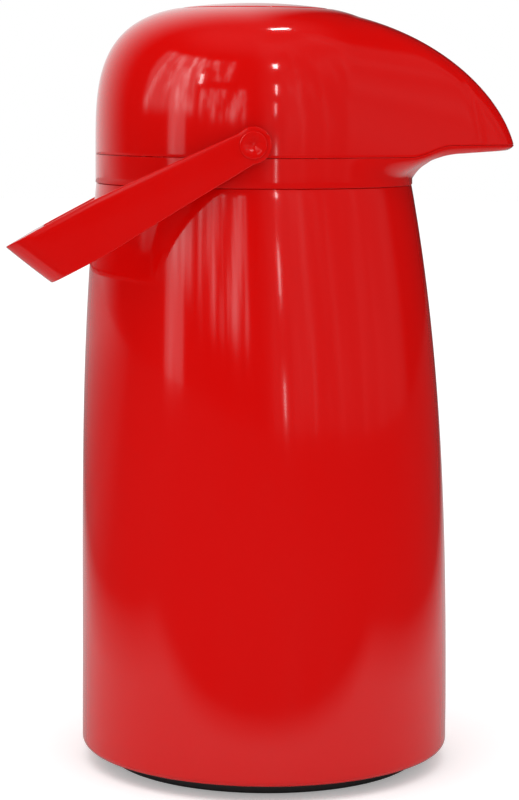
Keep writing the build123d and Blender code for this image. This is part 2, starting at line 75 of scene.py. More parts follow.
def meshFromRings(rings, closeLoop=True):
    # rings of equal length, joined in order, each closed on itself
    mesh = bpy.data.meshes.new("rings")
    count = len(rings[0])
    points = [tuple(point) for ring in rings for point in ring]
    faces = []
    last = len(rings) if closeLoop else len(rings) - 1
    for row in range(last):
        a = row * count
        b = ((row + 1) % len(rings)) * count
        for column in range(count):
            nextColumn = (column + 1) % count
            faces.append((a + column, a + nextColumn, b + nextColumn, b + column))
    mesh.from_pydata(points, [], faces)
    return mesh


def tidyMesh(mesh, mergeDistance=1e-6):
    bm = bmesh.new()
    bm.from_mesh(mesh)
    bmesh.ops.remove_doubles(bm, verts=bm.verts, dist=mergeDistance)
    bmesh.ops.dissolve_degenerate(bm, edges=bm.edges, dist=mergeDistance)
    bmesh.ops.recalc_face_normals(bm, faces=bm.faces)
    bm.to_mesh(mesh)
    bm.free()
    for polygon in mesh.polygons:
        polygon.use_smooth = True
    return mesh


def joinMeshes(name, meshes):
    bm = bmesh.new()
    for mesh in meshes:
        bm.from_mesh(mesh)
    joined = bpy.data.meshes.new(name)
    bm.to_mesh(joined)
    bm.free()
    for polygon in joined.polygons:
        polygon.use_smooth = True
    return joined


def placePiece(name, mesh, body, replaced, material):
    piece = bpy.data.objects.new(name, mesh)
    bpy.context.scene.collection.objects.link(piece)
    mesh.materials.clear()
    mesh.materials.append(material)
    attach(piece, body)
    if replaced:
        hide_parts(*replaced)
    return piece


def rounded(corners, steps=5):
    # closed outline of (radius, height, roundness) corners with each corner turned into an arc
    outline = []
    total = len(corners)
    for index, (r, z, roundness) in enumerate(corners):
        here = Vector((r, z))
        if roundness <= 0:
            outline.append(here)
            continue
        before = Vector(corners[index - 1][:2]) - here
        after = Vector(corners[(index + 1) % total][:2]) - here
        turn = before.angle(after)
        reach = min(roundness / tan(turn / 2), 0.49 * before.length, 0.49 * after.length)
        start = here + before.normalized() * reach
        end = here + after.normalized() * reach
        for step in range(steps + 1):
            share = step / steps
            first = start.lerp(here, share)
            second = here.lerp(end, share)
            outline.append(first.lerp(second, share))
    return outline


def newTree(name, inputs):
    # a geometry tree with named inputs; the first is the incoming geometry
    tree = bpy.data.node_groups.new(name, "GeometryNodeTree")
    tree.interface.new_socket(name="Geometry", in_out="INPUT", socket_type="NodeSocketGeometry")
    for label, kind, value in inputs:
        socket = tree.interface.new_socket(name=label, in_out="INPUT", socket_type=kind)
        if value is not None:
            socket.default_value = value
    tree.interface.new_socket(name="Material", in_out="INPUT", socket_type="NodeSocketMaterial")
    tree.interface.new_socket(name="Geometry", in_out="OUTPUT", socket_type="NodeSocketGeometry")
    return tree, tree.nodes.new("NodeGroupInput"), tree.nodes.new("NodeGroupOutput")


def addNode(tree, kind, values=None, **settings):
    node = tree.nodes.new(kind)
    for label, value in settings.items():
        setattr(node, label, value)
    for label, value in (values or {}).items():
        if hasattr(value, "is_output"):
            tree.links.new(value, node.inputs[label])
        else:
            node.inputs[label].default_value = value
    return node


def endTree(tree, geometry, enter, leave):
    realize = addNode(tree, "GeometryNodeRealizeInstances", {"Geometry": geometry})
    finish = addNode(tree, "GeometryNodeSetMaterial",
                     {"Geometry": realize.outputs[0], "Material": enter.outputs["Material"]})
    tree.links.new(finish.outputs[0], leave.inputs["Geometry"])


def growMesh(tree, values, material, base=None):
    # runs a geometry tree once and keeps its result as a plain mesh
    holder = bpy.data.objects.new("grower", base or bpy.data.meshes.new("empty"))
    bpy.context.scene.collection.objects.link(holder)
    modifier = holder.modifiers.new("rule", "NODES")
    modifier.node_group = tree
    for item in tree.interface.items_tree:
        if item.in_out != "INPUT":
            continue
        if item.name in values:
            modifier[item.identifier] = values[item.name]
        elif item.name == "Material":
            modifier[item.identifier] = material
    bpy.context.view_layer.update()
    seen = holder.evaluated_get(bpy.context.evaluated_depsgraph_get())
    mesh = bpy.data.meshes.new_from_object(seen)
    holder.modifiers.clear()
    bpy.data.objects.remove(holder)
    return tidyMesh(mesh, 1e-7)


def turnedTree():
    # turns an outline about an upright axis. An outline point is (radius, follow, height): with follow at 1
    # the radius is an offset from the tapering wall, with follow at 0 it stands by itself.
    tree, enter, leave = newTree("turnedShell", [
        ("Segments", "NodeSocketInt", 128), ("Centre X", "NodeSocketFloat", 0.0),
        ("Belly Radius", "NodeSocketFloat", 0.05), ("Neck Radius", "NodeSocketFloat", 0.05),
        ("Belly Height", "NodeSocketFloat", 0.0), ("Neck Height", "NodeSocketFloat", 1.0),
        ("Straight Share", "NodeSocketFloat", 0.0), ("Lean", "NodeSocketFloat", 0.0),
        ("Lean Power", "NodeSocketFloat", 1.0)])
    get = enter.outputs
    count = addNode(tree, "GeometryNodeAttributeDomainSize", {"Geometry": get["Geometry"]},
                    component="MESH")
    rows = count.outputs["Point Count"]
    columns = mathNode(tree, "ADD", get["Segments"], 1)
    grid = addNode(tree, "GeometryNodeMeshGrid", {
        "Vertices X": mathNode(tree, "ADD", rows, 1), "Vertices Y": columns})
    index = tree.nodes.new("GeometryNodeInputIndex").outputs[0]
    row = mathNode(tree, "FLOOR", mathNode(tree, "DIVIDE", mathNode(tree, "ADD", index, 0.5), columns))
    column = mathNode(tree, "SUBTRACT", index, mathNode(tree, "MULTIPLY", row, columns))
    wrapped = mathNode(tree, "SUBTRACT", row, mathNode(tree, "MULTIPLY", rows, mathNode(
        tree, "FLOOR", mathNode(tree, "DIVIDE", mathNode(tree, "ADD", row, 0.5), rows))))
    spot = tree.nodes.new("GeometryNodeInputPosition").outputs[0]
    sample = addNode(tree, "GeometryNodeSampleIndex", {"Geometry": get["Geometry"]},
                     data_type="FLOAT_VECTOR", domain="POINT")
    tree.links.new(spot, sample.inputs["Value"])
    tree.links.new(wrapped, sample.inputs["Index"])
    part = addNode(tree, "ShaderNodeSeparateXYZ", {0: sample.outputs[0]})
    offset, follow, height = part.outputs
    reach = mathNode(tree, "DIVIDE", mathNode(tree, "SUBTRACT", height, get["Belly Height"]),
                     mathNode(tree, "SUBTRACT", get["Neck Height"], get["Belly Height"]))
    share = mathNode(tree, "MAXIMUM", reach, 0.0)
    curved = mathNode(tree, "MULTIPLY", mathNode(tree, "POWER", share, 3.0),
                      mathNode(tree, "SUBTRACT", 1.0, get["Straight Share"]))
    taper = mathNode(tree, "MULTIPLY_ADD", share, get["Straight Share"], curved)
    fullNarrowing = mathNode(tree, "SUBTRACT", get["Belly Radius"], get["Neck Radius"])
    narrowing = mathNode(tree, "MULTIPLY", fullNarrowing, taper)
    wall = mathNode(tree, "SUBTRACT", get["Belly Radius"], narrowing)
    radius = mathNode(tree, "MULTIPLY_ADD", wall, follow, offset)
    leanShare = mathNode(tree, "POWER", share, get["Lean Power"])
    lean = mathNode(tree, "MULTIPLY_ADD", leanShare, get["Lean"], get["Centre X"])
    angle = mathNode(tree, "MULTIPLY", mathNode(tree, "DIVIDE", column, get["Segments"]), 2 * pi)
    place = addNode(tree, "ShaderNodeCombineXYZ", {
        0: mathNode(tree, "MULTIPLY_ADD", radius, mathNode(tree, "COSINE", angle), lean),
        1: mathNode(tree, "MULTIPLY", radius, mathNode(tree, "SINE", angle)),
        2: height})
    moved = addNode(tree, "GeometryNodeSetPosition", {
        "Geometry": grid.outputs["Mesh"], "Position": place.outputs[0]})
    merged = addNode(tree, "GeometryNodeMergeByDistance", {
        "Geometry": moved.outputs[0], "Distance": 0.005 * mm})
    endTree(tree, merged.outputs[0], enter, leave)
    return tree


def turned(outline, material, segments=160, centreX=0.0, **rule):
    # outline points are (radius, height) or (radius, follow, height)
    base = bpy.data.meshes.new("outline")
    points = [(p[0], 0.0, p[1]) if len(p) == 2 else tuple(p) for p in outline]
    base.from_pydata(points, [(i, i + 1) for i in range(len(points) - 1)], [])
    values = {"Segments": segments, "Centre X": centreX}
    values.update(rule)
    return growMesh(turnedShell, values, material, base)


def coilTree():
    # round wire wound into a helix, standing on its start
    tree, enter, leave = newTree("woundCoil", [
        ("Turns", "NodeSocketFloat", 5.0), ("Start Radius", "NodeSocketFloat", 0.005),
        ("End Radius", "NodeSocketFloat", 0.005), ("Height", "NodeSocketFloat", 0.02),
        ("Wire Radius", "NodeSocketFloat", 0.0005), ("Steps", "NodeSocketInt", 32),
        ("Sides", "NodeSocketInt", 12), ("Place", "NodeSocketVector", (0.0, 0.0, 0.0))])
    get = enter.outputs
    spiral = addNode(tree, "GeometryNodeCurveSpiral", {
        "Resolution": get["Steps"], "Rotations": get["Turns"], "Start Radius": get["Start Radius"],
        "End Radius": get["End Radius"], "Height": get["Height"]})
    wire = addNode(tree, "GeometryNodeCurvePrimitiveCircle", {
        "Resolution": get["Sides"], "Radius": get["Wire Radius"]})
    swept = addNode(tree, "GeometryNodeCurveToMesh", {
        "Curve": spiral.outputs[0], "Profile Curve": wire.outputs[0], "Fill Caps": True})
    placed = addNode(tree, "GeometryNodeTransform", {
        "Geometry": swept.outputs[0], "Translation": get["Place"]})
    endTree(tree, placed.outputs[0], enter, leave)
    return tree


def ringTree():
    # one small piece repeated round a circle, each copy turned to face outwards
    tree, enter, leave = newTree("ringRow", [
        ("Count", "NodeSocketInt", 12), ("Radius", "NodeSocketFloat", 0.05),
        ("Height", "NodeSocketFloat", 0.0), ("Centre X", "NodeSocketFloat", 0.0),
        ("Start Angle", "NodeSocketFloat", 0.0)])
    get = enter.outputs
    circle = addNode(tree, "GeometryNodeMeshCircle", {"Vertices": get["Count"], "Radius": get["Radius"]})
    index = tree.nodes.new("GeometryNodeInputIndex").outputs[0]
    step = mathNode(tree, "DIVIDE", index, get["Count"])
    angle = mathNode(tree, "MULTIPLY_ADD", step, 2 * pi, get["Start Angle"])
    place = addNode(tree, "ShaderNodeCombineXYZ", {
        0: mathNode(tree, "MULTIPLY_ADD", mathNode(tree, "COSINE", angle), get["Radius"], get["Centre X"]),
        1: mathNode(tree, "MULTIPLY", mathNode(tree, "SINE", angle), get["Radius"]),
        2: get["Height"]})
    moved = addNode(tree, "GeometryNodeSetPosition", {
        "Geometry": circle.outputs[0], "Position": place.outputs[0]})
    turn = addNode(tree, "ShaderNodeCombineXYZ", {2: angle})
    copies = addNode(tree, "GeometryNodeInstanceOnPoints", {
        "Points": moved.outputs[0], "Instance": get["Geometry"]})
    tree.links.new(turn.outputs[0], copies.inputs["Rotation"])
    endTree(tree, copies.outputs[0], enter, leave)
    return tree


# ---- shader groups shared by the materials

def newGroup(name, inputs, outputs):
    group = bpy.data.node_groups.new(name, "ShaderNodeTree")
    for label, kind, value in inputs:
        socket = group.interface.new_socket(name=label, in_out="INPUT", socket_type=kind)
        socket.default_value = value
    for label, kind in outputs:
        group.interface.new_socket(name=label, in_out="OUTPUT", socket_type=kind)
    return group, group.nodes.new("NodeGroupInput"), group.nodes.new("NodeGroupOutput")


def mathNode(tree, operation, a, b=None, c=None):
    node = tree.nodes.new("ShaderNodeMath")
    node.operation = operation
    for index, value in enumerate((a, b, c)):
        if value is None:
            continue
        if isinstance(value, (int, float)):
            node.inputs[index].default_value = value
        else:
            tree.links.new(value, node.inputs[index])
    return node.outputs[0]


def noiseNode(tree, vector, scale, detail=2.0, rough=0.5):
    node = tree.nodes.new("ShaderNodeTexNoise")
    node.inputs["Detail"].default_value = detail
    node.inputs["Roughness"].default_value = rough
    tree.links.new(vector, node.inputs["Vector"])
    if isinstance(scale, (int, float)):
        node.inputs["Scale"].default_value = scale
    else:
        tree.links.new(scale, node.inputs["Scale"])
    return node.outputs["Fac"]


def mouldGroup():
    # slow sink marks and a fine skin, as on an injection moulding
    group, enter, leave = newGroup("mouldSkin", [
        ("Wave Scale", "NodeSocketFloat", 18.0), ("Wave Height", "NodeSocketFloat", 0.5),
        ("Skin Scale", "NodeSocketFloat", 900.0), ("Skin Height", "NodeSocketFloat", 0.1)],
        [("Height", "NodeSocketFloat"), ("Tone", "NodeSocketFloat")])
    place = group.nodes.new("ShaderNodeTexCoord").outputs["Object"]
    wave = noiseNode(group, place, enter.outputs["Wave Scale"], 1.0)
    skin = noiseNode(group, place, enter.outputs["Skin Scale"], 2.0)
    waveHeight = mathNode(group, "MULTIPLY", wave, enter.outputs["Wave Height"])
    height = mathNode(group, "MULTIPLY_ADD", skin, enter.outputs["Skin Height"], waveHeight)
    group.links.new(height, leave.inputs["Height"])
    group.links.new(noiseNode(group, place, 9.0, 2.0), leave.inputs["Tone"])
    return group


def wearGroup():
    # wiping marks and light dust that lift the roughness a little
    group, enter, leave = newGroup("wipeWear", [
        ("Clean", "NodeSocketFloat", 0.1), ("Worn", "NodeSocketFloat", 0.3),
        ("Mark Scale", "NodeSocketFloat", 60.0), ("Edge", "NodeSocketFloat", 0.1)],
        [("Roughness", "NodeSocketFloat"), ("Edge Mask", "NodeSocketFloat")])
    coordinates = group.nodes.new("ShaderNodeTexCoord").outputs["Object"]
    stretch = group.nodes.new("ShaderNodeMapping")
    stretch.inputs["Scale"].default_value = (1.0, 1.0, 0.25)
    group.links.new(coordinates, stretch.inputs["Vector"])
    marks = noiseNode(group, stretch.outputs["Vector"], enter.outputs["Mark Scale"], 6.0, 0.6)
    sharp = mathNode(group, "POWER", marks, 3.0)
    worn = mathNode(group, "SUBTRACT", enter.outputs["Worn"], enter.outputs["Clean"])
    rough = mathNode(group, "MULTIPLY_ADD", sharp, worn, enter.outputs["Clean"])
    group.links.new(rough, leave.inputs["Roughness"])
    geometry = group.nodes.new("ShaderNodeNewGeometry")
    edge = mathNode(group, "SUBTRACT", geometry.outputs["Pointiness"], 0.5)
    edge = mathNode(group, "MULTIPLY", edge, enter.outputs["Edge"])
    clamp = group.nodes.new("ShaderNodeClamp")
    group.links.new(edge, clamp.inputs["Value"])
    group.links.new(clamp.outputs[0], leave.inputs["Edge Mask"])
    return group


mouldSkin = mouldGroup()
wipeWear = wearGroup()
turnedShell = turnedTree()
woundCoil = coilTree()
ringRow = ringTree()


def plasticMaterial(name, look):
    # one moulded, rubber or metal finish: two tones, a skin and wiping marks
    material = bpy.data.materials.new(name)
    material.use_nodes = True
    tree = material.node_tree
    shader = tree.nodes["Principled BSDF"]
    skin = tree.nodes.new("ShaderNodeGroup")
    skin.node_tree = mouldSkin
    wear = tree.nodes.new("ShaderNodeGroup")
    wear.node_tree = wipeWear
    for label, value in look.get("skin", {}).items():
        skin.inputs[label].default_value = value
    for label, value in look.get("wear", {}).items():
        wear.inputs[label].default_value = value
    tone = tree.nodes.new("ShaderNodeMix")
    tone.data_type = "RGBA"
    tone.inputs["A"].default_value = (*look["colour"], 1)
    tone.inputs["B"].default_value = (*look["second"], 1)
    tree.links.new(skin.outputs["Tone"], tone.inputs["Factor"])
    edge = tree.nodes.new("ShaderNodeMix")
    edge.data_type = "RGBA"
    edge.inputs["B"].default_value = (*look.get("edge", look["second"]), 1)
    tree.links.new(wear.outputs["Edge Mask"], edge.inputs["Factor"])
    tree.links.new(tone.outputs["Result"], edge.inputs["A"])
    tree.links.new(edge.outputs["Result"], shader.inputs["Base Color"])
    tree.links.new(wear.outputs["Roughness"], shader.inputs["Roughness"])
    bump = tree.nodes.new("ShaderNodeBump")
    bump.inputs["Strength"].default_value = look.get("bump", 0.2)
    bump.inputs["Distance"].default_value = look.get("depth", 0.1 * mm)
    tree.links.new(skin.outputs["Height"], bump.inputs["Height"])
    tree.links.new(bump.outputs["Normal"], shader.inputs["Normal"])
    for label, value in look.get("shader", {}).items():
        shader.inputs[label].default_value = value
    return material


redLook = {
    "colour": (0.665, 0.0016, 0.0008),
    "second": (0.625, 0.0012, 0.0006),
    "edge": (0.70, 0.012, 0.010),
    "skin": {"Wave Scale": 26.0, "Wave Height": 0.9, "Skin Scale": 700.0, "Skin Height": 0.03},
    "wear": {"Clean": 0.075, "Worn": 0.20, "Mark Scale": 55.0, "Edge": 0.35},
    "bump": 0.22,
    "depth": 0.35 * mm,
    "shader": {"IOR": 1.5, "Coat Weight": 0.25, "Coat Roughness": 0.03},
}
blackLook = {
    "colour": (0.010, 0.010, 0.011),
    "second": (0.016, 0.016, 0.017),
    "edge": (0.05, 0.05, 0.05),
    "skin": {"Wave Scale": 40.0, "Wave Height": 0.1, "Skin Scale": 2600.0, "Skin Height": 0.6},
    "wear": {"Clean": 0.32, "Worn": 0.62, "Mark Scale": 80.0, "Edge": 0.8},
    "bump": 0.35,
    "depth": 0.06 * mm,
}
whiteLook = {
    "colour": (0.76, 0.75, 0.72),
    "second": (0.71, 0.70, 0.66),
    "edge": (0.80, 0.79, 0.76),
    "skin": {"Wave Scale": 50.0, "Wave Height": 0.2, "Skin Scale": 1600.0, "Skin Height": 0.3},
    "wear": {"Clean": 0.26, "Worn": 0.5, "Mark Scale": 90.0, "Edge": 0.3},
    "bump": 0.2,
    "depth": 0.05 * mm,
}
rubberLook = {
    "colour": (0.018, 0.018, 0.018),
    "second": (0.030, 0.029, 0.028),
    "edge": (0.06, 0.06, 0.06),
    "skin": {"Wave Scale": 60.0, "Wave Height": 0.2, "Skin Scale": 3200.0, "Skin Height": 0.9},
    "wear": {"Clean": 0.62, "Worn": 0.85, "Mark Scale": 120.0, "Edge": 0.5},
    "bump": 0.5,
    "depth": 0.06 * mm,
}
sealLook = {
    "colour": (0.66, 0.63, 0.57),
    "second": (0.58, 0.55, 0.49),
    "edge": (0.72, 0.70, 0.64),
    "skin": {"Wave Scale": 60.0, "Wave Height": 0.2, "Skin Scale": 2400.0, "Skin Height": 0.8},
    "wear": {"Clean": 0.5, "Worn": 0.75, "Mark Scale": 120.0, "Edge": 0.2},
    "bump": 0.4,
    "depth": 0.05 * mm,
    "shader": {"Subsurface Weight": 0.15, "Subsurface Scale": 0.002},
}
steelLook = {
    "colour": (0.56, 0.56, 0.57),
    "second": (0.48, 0.48, 0.49),
    "edge": (0.75, 0.75, 0.75),
    "skin": {"Wave Scale": 90.0, "Wave Height": 0.1, "Skin Scale": 3000.0, "Skin Height": 0.4},
    "wear": {"Clean": 0.18, "Worn": 0.42, "Mark Scale": 300.0, "Edge": 0.6},
    "bump": 0.15,
    "depth": 0.02 * mm,
    "shader": {"Metallic": 1.0},
}
silverLook = {
    "colour": (0.86, 0.87, 0.88),
    "second": (0.80, 0.81, 0.83),
    "edge": (0.9, 0.9, 0.9),
    "skin": {"Wave Scale": 35.0, "Wave Height": 1.0, "Skin Scale": 400.0, "Skin Height": 0.05},
    "wear": {"Clean": 0.03, "Worn": 0.10, "Mark Scale": 40.0, "Edge": 0.1},
    "bump": 0.3,
    "depth": 0.3 * mm,
    "shader": {"Metallic": 1.0, "Coat Weight": 0.6, "Coat Roughness": 0.02},
}
padLook = {
    "colour": (0.60, 0.57, 0.50),
    "second": (0.50, 0.47, 0.41),
    "skin": {"Wave Scale": 400.0, "Wave Height": 0.6, "Skin Scale": 3000.0, "Skin Height": 1.0},
    "wear": {"Clean": 0.85, "Worn": 0.95, "Mark Scale": 200.0, "Edge": 0.1},
    "bump": 0.8,
    "depth": 0.1 * mm,
}

redGloss = plasticMaterial("redGloss", redLook)
blackPlastic = plasticMaterial("blackPlastic", blackLook)
whitePlastic = plasticMaterial("whitePlastic", whiteLook)
blackRubber = plasticMaterial("blackRubber", rubberLook)
sealRubber = plasticMaterial("sealRubber", sealLook)
brightSteel = plasticMaterial("brightSteel", steelLook)
silveredGlass = plasticMaterial("silveredGlass", silverLook)
fibrePad = plasticMaterial("fibrePad", padLook)
finishes = {
    "red_gloss": redGloss, "black_plastic": blackPlastic, "white_plastic": whitePlastic,
    "steel": brightSteel, "silvered_glass": silveredGlass, "black_rubber": blackRubber,
    "seal_rubber": sealRubber, "bellows_rubber": sealRubber, "spacer_pad": fibrePad,
}
for entry in frame["record"]["subparts"]:
    nodeMesh = nodes[entry["node"]].data
    nodeMesh.materials.clear()
    nodeMesh.materials.append(finishes[entry["material_slot"]])
print("finishes made")


# ---- places read from the frame

bodyLow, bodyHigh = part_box("body_shell")
_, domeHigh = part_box("dome")
buttonLow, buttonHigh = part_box("push_button")
headX = middle("neck_ring").x


# ---- body shell: tapers upwards and leans towards the back as it narrows

bodyLook = {
    "bellyHeight": 20 * mm, "neckRadius": 60.3 * mm, "leanPower": 1.8, "straightShare": 0.12,
    "wall": 2.4 * mm, "rimRound": 2.8 * mm, "topRound": 0.5 * mm, "lipRadius": 66.2 * mm,
    "lipHeight": 3.2 * mm, "flangeThickness": 2.4 * mm, "boreRadius": 46.5 * mm,
    "small": 0.3 * mm, "boreRound": 0.4 * mm, "rows": 72, "innerRows": 24, "segments": 224,
}


def makeBody():
    look = bodyLook
    low, high = bodyLow.z, bodyHigh.z
    lipTop = low + look["lipHeight"]
    small, bore = look["small"], look["boreRadius"]
    outline = [(look["lipRadius"], 0, low + small), (look["lipRadius"] + small, 0, low)]
    for step in range(9):
        angle = pi / 2 * step / 8
        outline.append((-look["rimRound"] * (1 - sin(angle)), 1, low + look["rimRound"] * (1 - cos(angle))))
    start, end = low + look["rimRound"], high - look["topRound"]
    for step in range(1, look["rows"] + 1):
        outline.append((0, 1, mix(start, end, step / look["rows"])))
    for step in range(1, 6):
        angle = pi / 2 * step / 5
        outline.append((-look["topRound"] * (1 - cos(angle)), 1, end + look["topRound"] * sin(angle)))
    flangeLow = high - look["flangeThickness"]
    boreRound = look["boreRound"]
    outline += [(bore + boreRound, 0, high), (bore, 0, high - boreRound), (bore, 0, flangeLow)]
    for step in range(look["innerRows"] + 1):
        outline.append((-look["wall"], 1, mix(flangeLow, lipTop, step / look["innerRows"])))
    outline.append((look["lipRadius"], 0, lipTop))
    rule = {"Belly Radius": bodyHigh.y, "Neck Radius": look["neckRadius"],
            "Belly Height": look["bellyHeight"], "Neck Height": high,
            "Straight Share": look["straightShare"], "Lean": headX, "Lean Power": look["leanPower"]}
    mesh = turned(outline, redGloss, look["segments"], 0.0, **rule)
    return placePiece("bodyShell", mesh, "pot", ["body_shell"], redGloss)


# ---- head: dome with the beak, and the collar below it

headLook = {
    "radius": 60.6 * mm, "rise": 56.4 * mm, "roundPower": 3.4, "reach": 100 * mm,
    "upPower": 1.6, "outPower": 2.3, "tipRadius": 12 * mm, "wall": 2.4 * mm,
    "seamLow": 235 * mm, "rampStart": 53 * mm, "rampEnd": 69 * mm, "lipTop": 239.3 * mm,
    "seamGap": 0.10 * mm, "seamRound": 0.22 * mm, "softening": 2,
    "holeRadius": 28.3 * mm, "holeRound": 0.6 * mm, "sleeveWall": 2.2 * mm, "sleeveLow": 270.3 * mm,
    "rows": 96, "innerRows": 30, "bossRadius": 4.4 * mm, "bossProud": 0.3 * mm, "pivotHeight": 239.8 * mm,
    "flareLow": 226.5 * mm, "underStart": 55.2 * mm, "underEnd": 73.5 * mm, "underHigh": 236.2 * mm,
    "lipLow": 237.4 * mm, "lipRound": 0.6 * mm, "lipWall": 1.5 * mm,
    "floorLow": 231 * mm, "floorHigh": 233.2 * mm, "floorBore": 22 * mm,
    "skirtInner": 47.6 * mm, "skirtOuter": 50.4 * mm, "skirtLow": 225 * mm,
    "nozzleX": 80 * mm, "nozzleRadius": 6.6 * mm, "drillLow": 225 * mm, "drillHigh": 238.7 * mm,
    "tableLevels": 120, "roofDrop": 2.1 * mm, "bossDepth": 1.5 * mm, "bossRound": 0.2 * mm,
    "small": 0.3 * mm, "overlap": 0.5 * mm, "leastWall": 1.2 * mm, "lipGrow": 8 * mm,
    "swellPower": 1.7, "swellEase": 0.85, "plainShare": 0.8, "sideCosine": 0.2,
    "cutSteps": 400, "sideRows": 12, "underRows": 24, "tipRows": 5, "lipRows": 10,
}


def headAngles():
    # columns stand close together at the beak and further apart round the back
    half = [0.0]
    for limit, step in ((10, 0.5), (64, 1.2), (180, 2.32)):
        count = round((limit - half[-1]) / step)
        first = half[-1]
        for index in range(1, count + 1):
            half.append(first + (limit - first) * index / count)
    angles = [radians(value) for value in half]
    return angles + [-angle for angle in reversed(angles[1:-1])]


def dropRadius(angle, radius, reach, tip):
    # distance from the head's axis to an outline made of a circle, two tangents and a small nose
    angle = abs(angle)
    if reach <= radius:
        return radius
    shift = reach - tip
    turn = acos(min(1.0, (radius - tip) / shift))
    nose = atan2(tip * sin(turn), shift + tip * cos(turn))
    if angle >= turn:
        return radius
    if angle >= nose:
        return radius / cos(turn - angle)
    return shift * cos(angle) + sqrt(max(0.0, tip ** 2 - (shift * sin(angle)) ** 2))


def domeRow(z, inset, angles):
    look = headLook
    level = min(0.9999, max(0.0, (z - look["seamLow"]) / (look["rise"] - inset)))
    radius = (look["radius"] - inset) * (1 - level ** look["roundPower"]) ** (1 / look["roundPower"])
    reach = (look["reach"] - inset) * (1 - level ** look["upPower"]) ** (1 / look["outPower"])
    share = max(0.0, (reach - radius) / (look["reach"] - look["radius"]))
    full = radius + inset
    tip = full - (full - look["tipRadius"]) * sqrt(share) - inset
    row = [dropRadius(angle, radius, reach, tip) for angle in angles]
    count = len(row)
    for _ in range(look["softening"]):          # eases the flat sides into the round back
        row = [(row[i - 1] + 2 * row[i] + row[(i + 1) % count]) / 4 for i in range(count)]
    return row


def seamHeight(x):
    look = headLook
    share = smooth((x - look["rampStart"]) / (look["rampEnd"] - look["rampStart"]))
    return mix(look["seamLow"], look["lipTop"], share)


def ringPoint(angle, radius, z):
    return (headX + radius * cos(angle), radius * sin(angle), z)


def rowTable(low, high, inset, angles, levels=64):
    # dome rows worked out once and read back at any height
    heights = [mix(low, high, index / levels) for index in range(levels + 1)]
    rows = [domeRow(z, inset, angles) for z in heights]

    def radiusAt(column, z):
        place = (z - low) / (high - low) * levels
        index = min(levels - 1, max(0, int(place)))
        return mix(rows[index][column], rows[index + 1][column], place - index)
    return radiusAt


def roundCorner(points, index, reach, steps=4):
    # replaces one corner of an outline by a short curve
    here, before, after = points[index], points[index - 1], points[index + 1]
    start = here + (before - here) * min(1.0, reach / max((before - here).length, 1e-9)) * 0.98
    end = here + (after - here) * min(1.0, reach / max((after - here).length, 1e-9)) * 0.98
    curve = []
    for step in range(steps + 1):
        share = step / steps
        curve.append(start.lerp(here, share).lerp(here.lerp(end, share), share))
    return points[:index] + curve + points[index + 1:]


def seamLine(angles, radiusAt):
    look = headLook
    seams = []
    for column, angle in enumerate(angles):
        x = headX + radiusAt(column, look["lipTop"]) * cos(angle)
        seams.append(seamHeight(x))
    return seams


def makeDome():
    look = headLook
    angles = headAngles()
    columns = range(len(angles))
    top = domeHigh.z
    outer = rowTable(look["seamLow"], top, 0, angles, look["tableLevels"])
    innerTop = look["seamLow"] + look["rise"] - look["wall"] - look["roofDrop"]
    inner = rowTable(look["seamLow"], innerTop, look["wall"], angles)
    seams = [seam + look["seamGap"] / 2 for seam in seamLine(angles, outer)]
    rings = []
    for step in range(5):                       # rounded lower edge
        angle = pi / 2 * step / 4
        ring = []
        for i in columns:
            z = seams[i] + look["seamRound"] * (1 - cos(angle))
            ring.append(ringPoint(angles[i], outer(i, z) - look["seamRound"] * (1 - sin(angle)), z))
        rings.append(ring)
    for step in range(1, look["rows"] + 1):
        share = sin(pi / 2 * step / look["rows"])
        ring = []
        for i in columns:
            z = mix(seams[i] + look["seamRound"], top, share)
            ring.append(ringPoint(angles[i], outer(i, z), z))
        rings.append(ring)
    hole = look["holeRadius"]
    sleeve = hole + look["sleeveWall"]
    edge = look["holeRound"]
    for step in range(6):
        angle = pi / 2 * step / 5
        radius, z = hole + edge * (1 - sin(angle)), top - edge * (1 - cos(angle))
        rings.append([ringPoint(a, radius, z) for a in angles])
    for radius, z in ((hole, look["sleeveLow"]), (sleeve, look["sleeveLow"]), (sleeve, innerTop)):
        rings.append([ringPoint(a, radius, z) for a in angles])
    for step in range(look["innerRows"] + 1):
        share = sin(pi / 2 * (1 - step / look["innerRows"]))
        ring = []
        for i in columns:
            z = mix(seams[i], innerTop, share)
            ring.append(ringPoint(angles[i], inner(i, z), z))
        rings.append(ring)
    parts = [tidyMesh(meshFromRings(rings))]
    for side in (-1, 1):                        # bosses that the handle's pins pass through
        start, end = look["radius"] - look["bossDepth"], look["radius"] + look["bossProud"]
        boss = turned(rounded([(1e-5, start, 0), (look["bossRadius"], start, 0),
                               (look["bossRadius"], end, look["bossRound"]), (1e-5, end, 0)]), redGloss, 48)
        boss.transform(Matrix.Rotation(-side * pi / 2, 4, "X"))
        boss.transform(Matrix.Translation((headX, 0, look["pivotHeight"])))
        parts.append(boss)
    mesh = joinMeshes("domeShell", parts)
    return placePiece("domeShell", mesh, "head", ["dome"], redGloss)


def underReach(z):
    # how far out the beak's underside lies at a height: a quarter ellipse, then a gentle rise to the tip
    look = headLook
    rise = look["underHigh"] - look["flareLow"]
    if z >= look["underHigh"]:
        share = (z - look["underHigh"]) / (look["lipLow"] - look["underHigh"])
        return mix(look["underEnd"], look["reach"] + headX, share)
    share = max(0.0, (z - look["flareLow"]) / rise)
    return look["underStart"] + (look["underEnd"] - look["underStart"]) * (1 - sqrt(1 - share ** 2))


def flareReach(z, edge, seam):
    # the band's side swells from the neck circle to the beak's edge
    look = headLook
    share = min(1.0, max(0.0, (z - look["flareLow"]) / (seam - look["flareLow"])))
    swell = 1 - (1 - share) ** look["swellPower"]
    return mix(look["radius"], edge, mix(swell, smooth(share), look["swellEase"]))


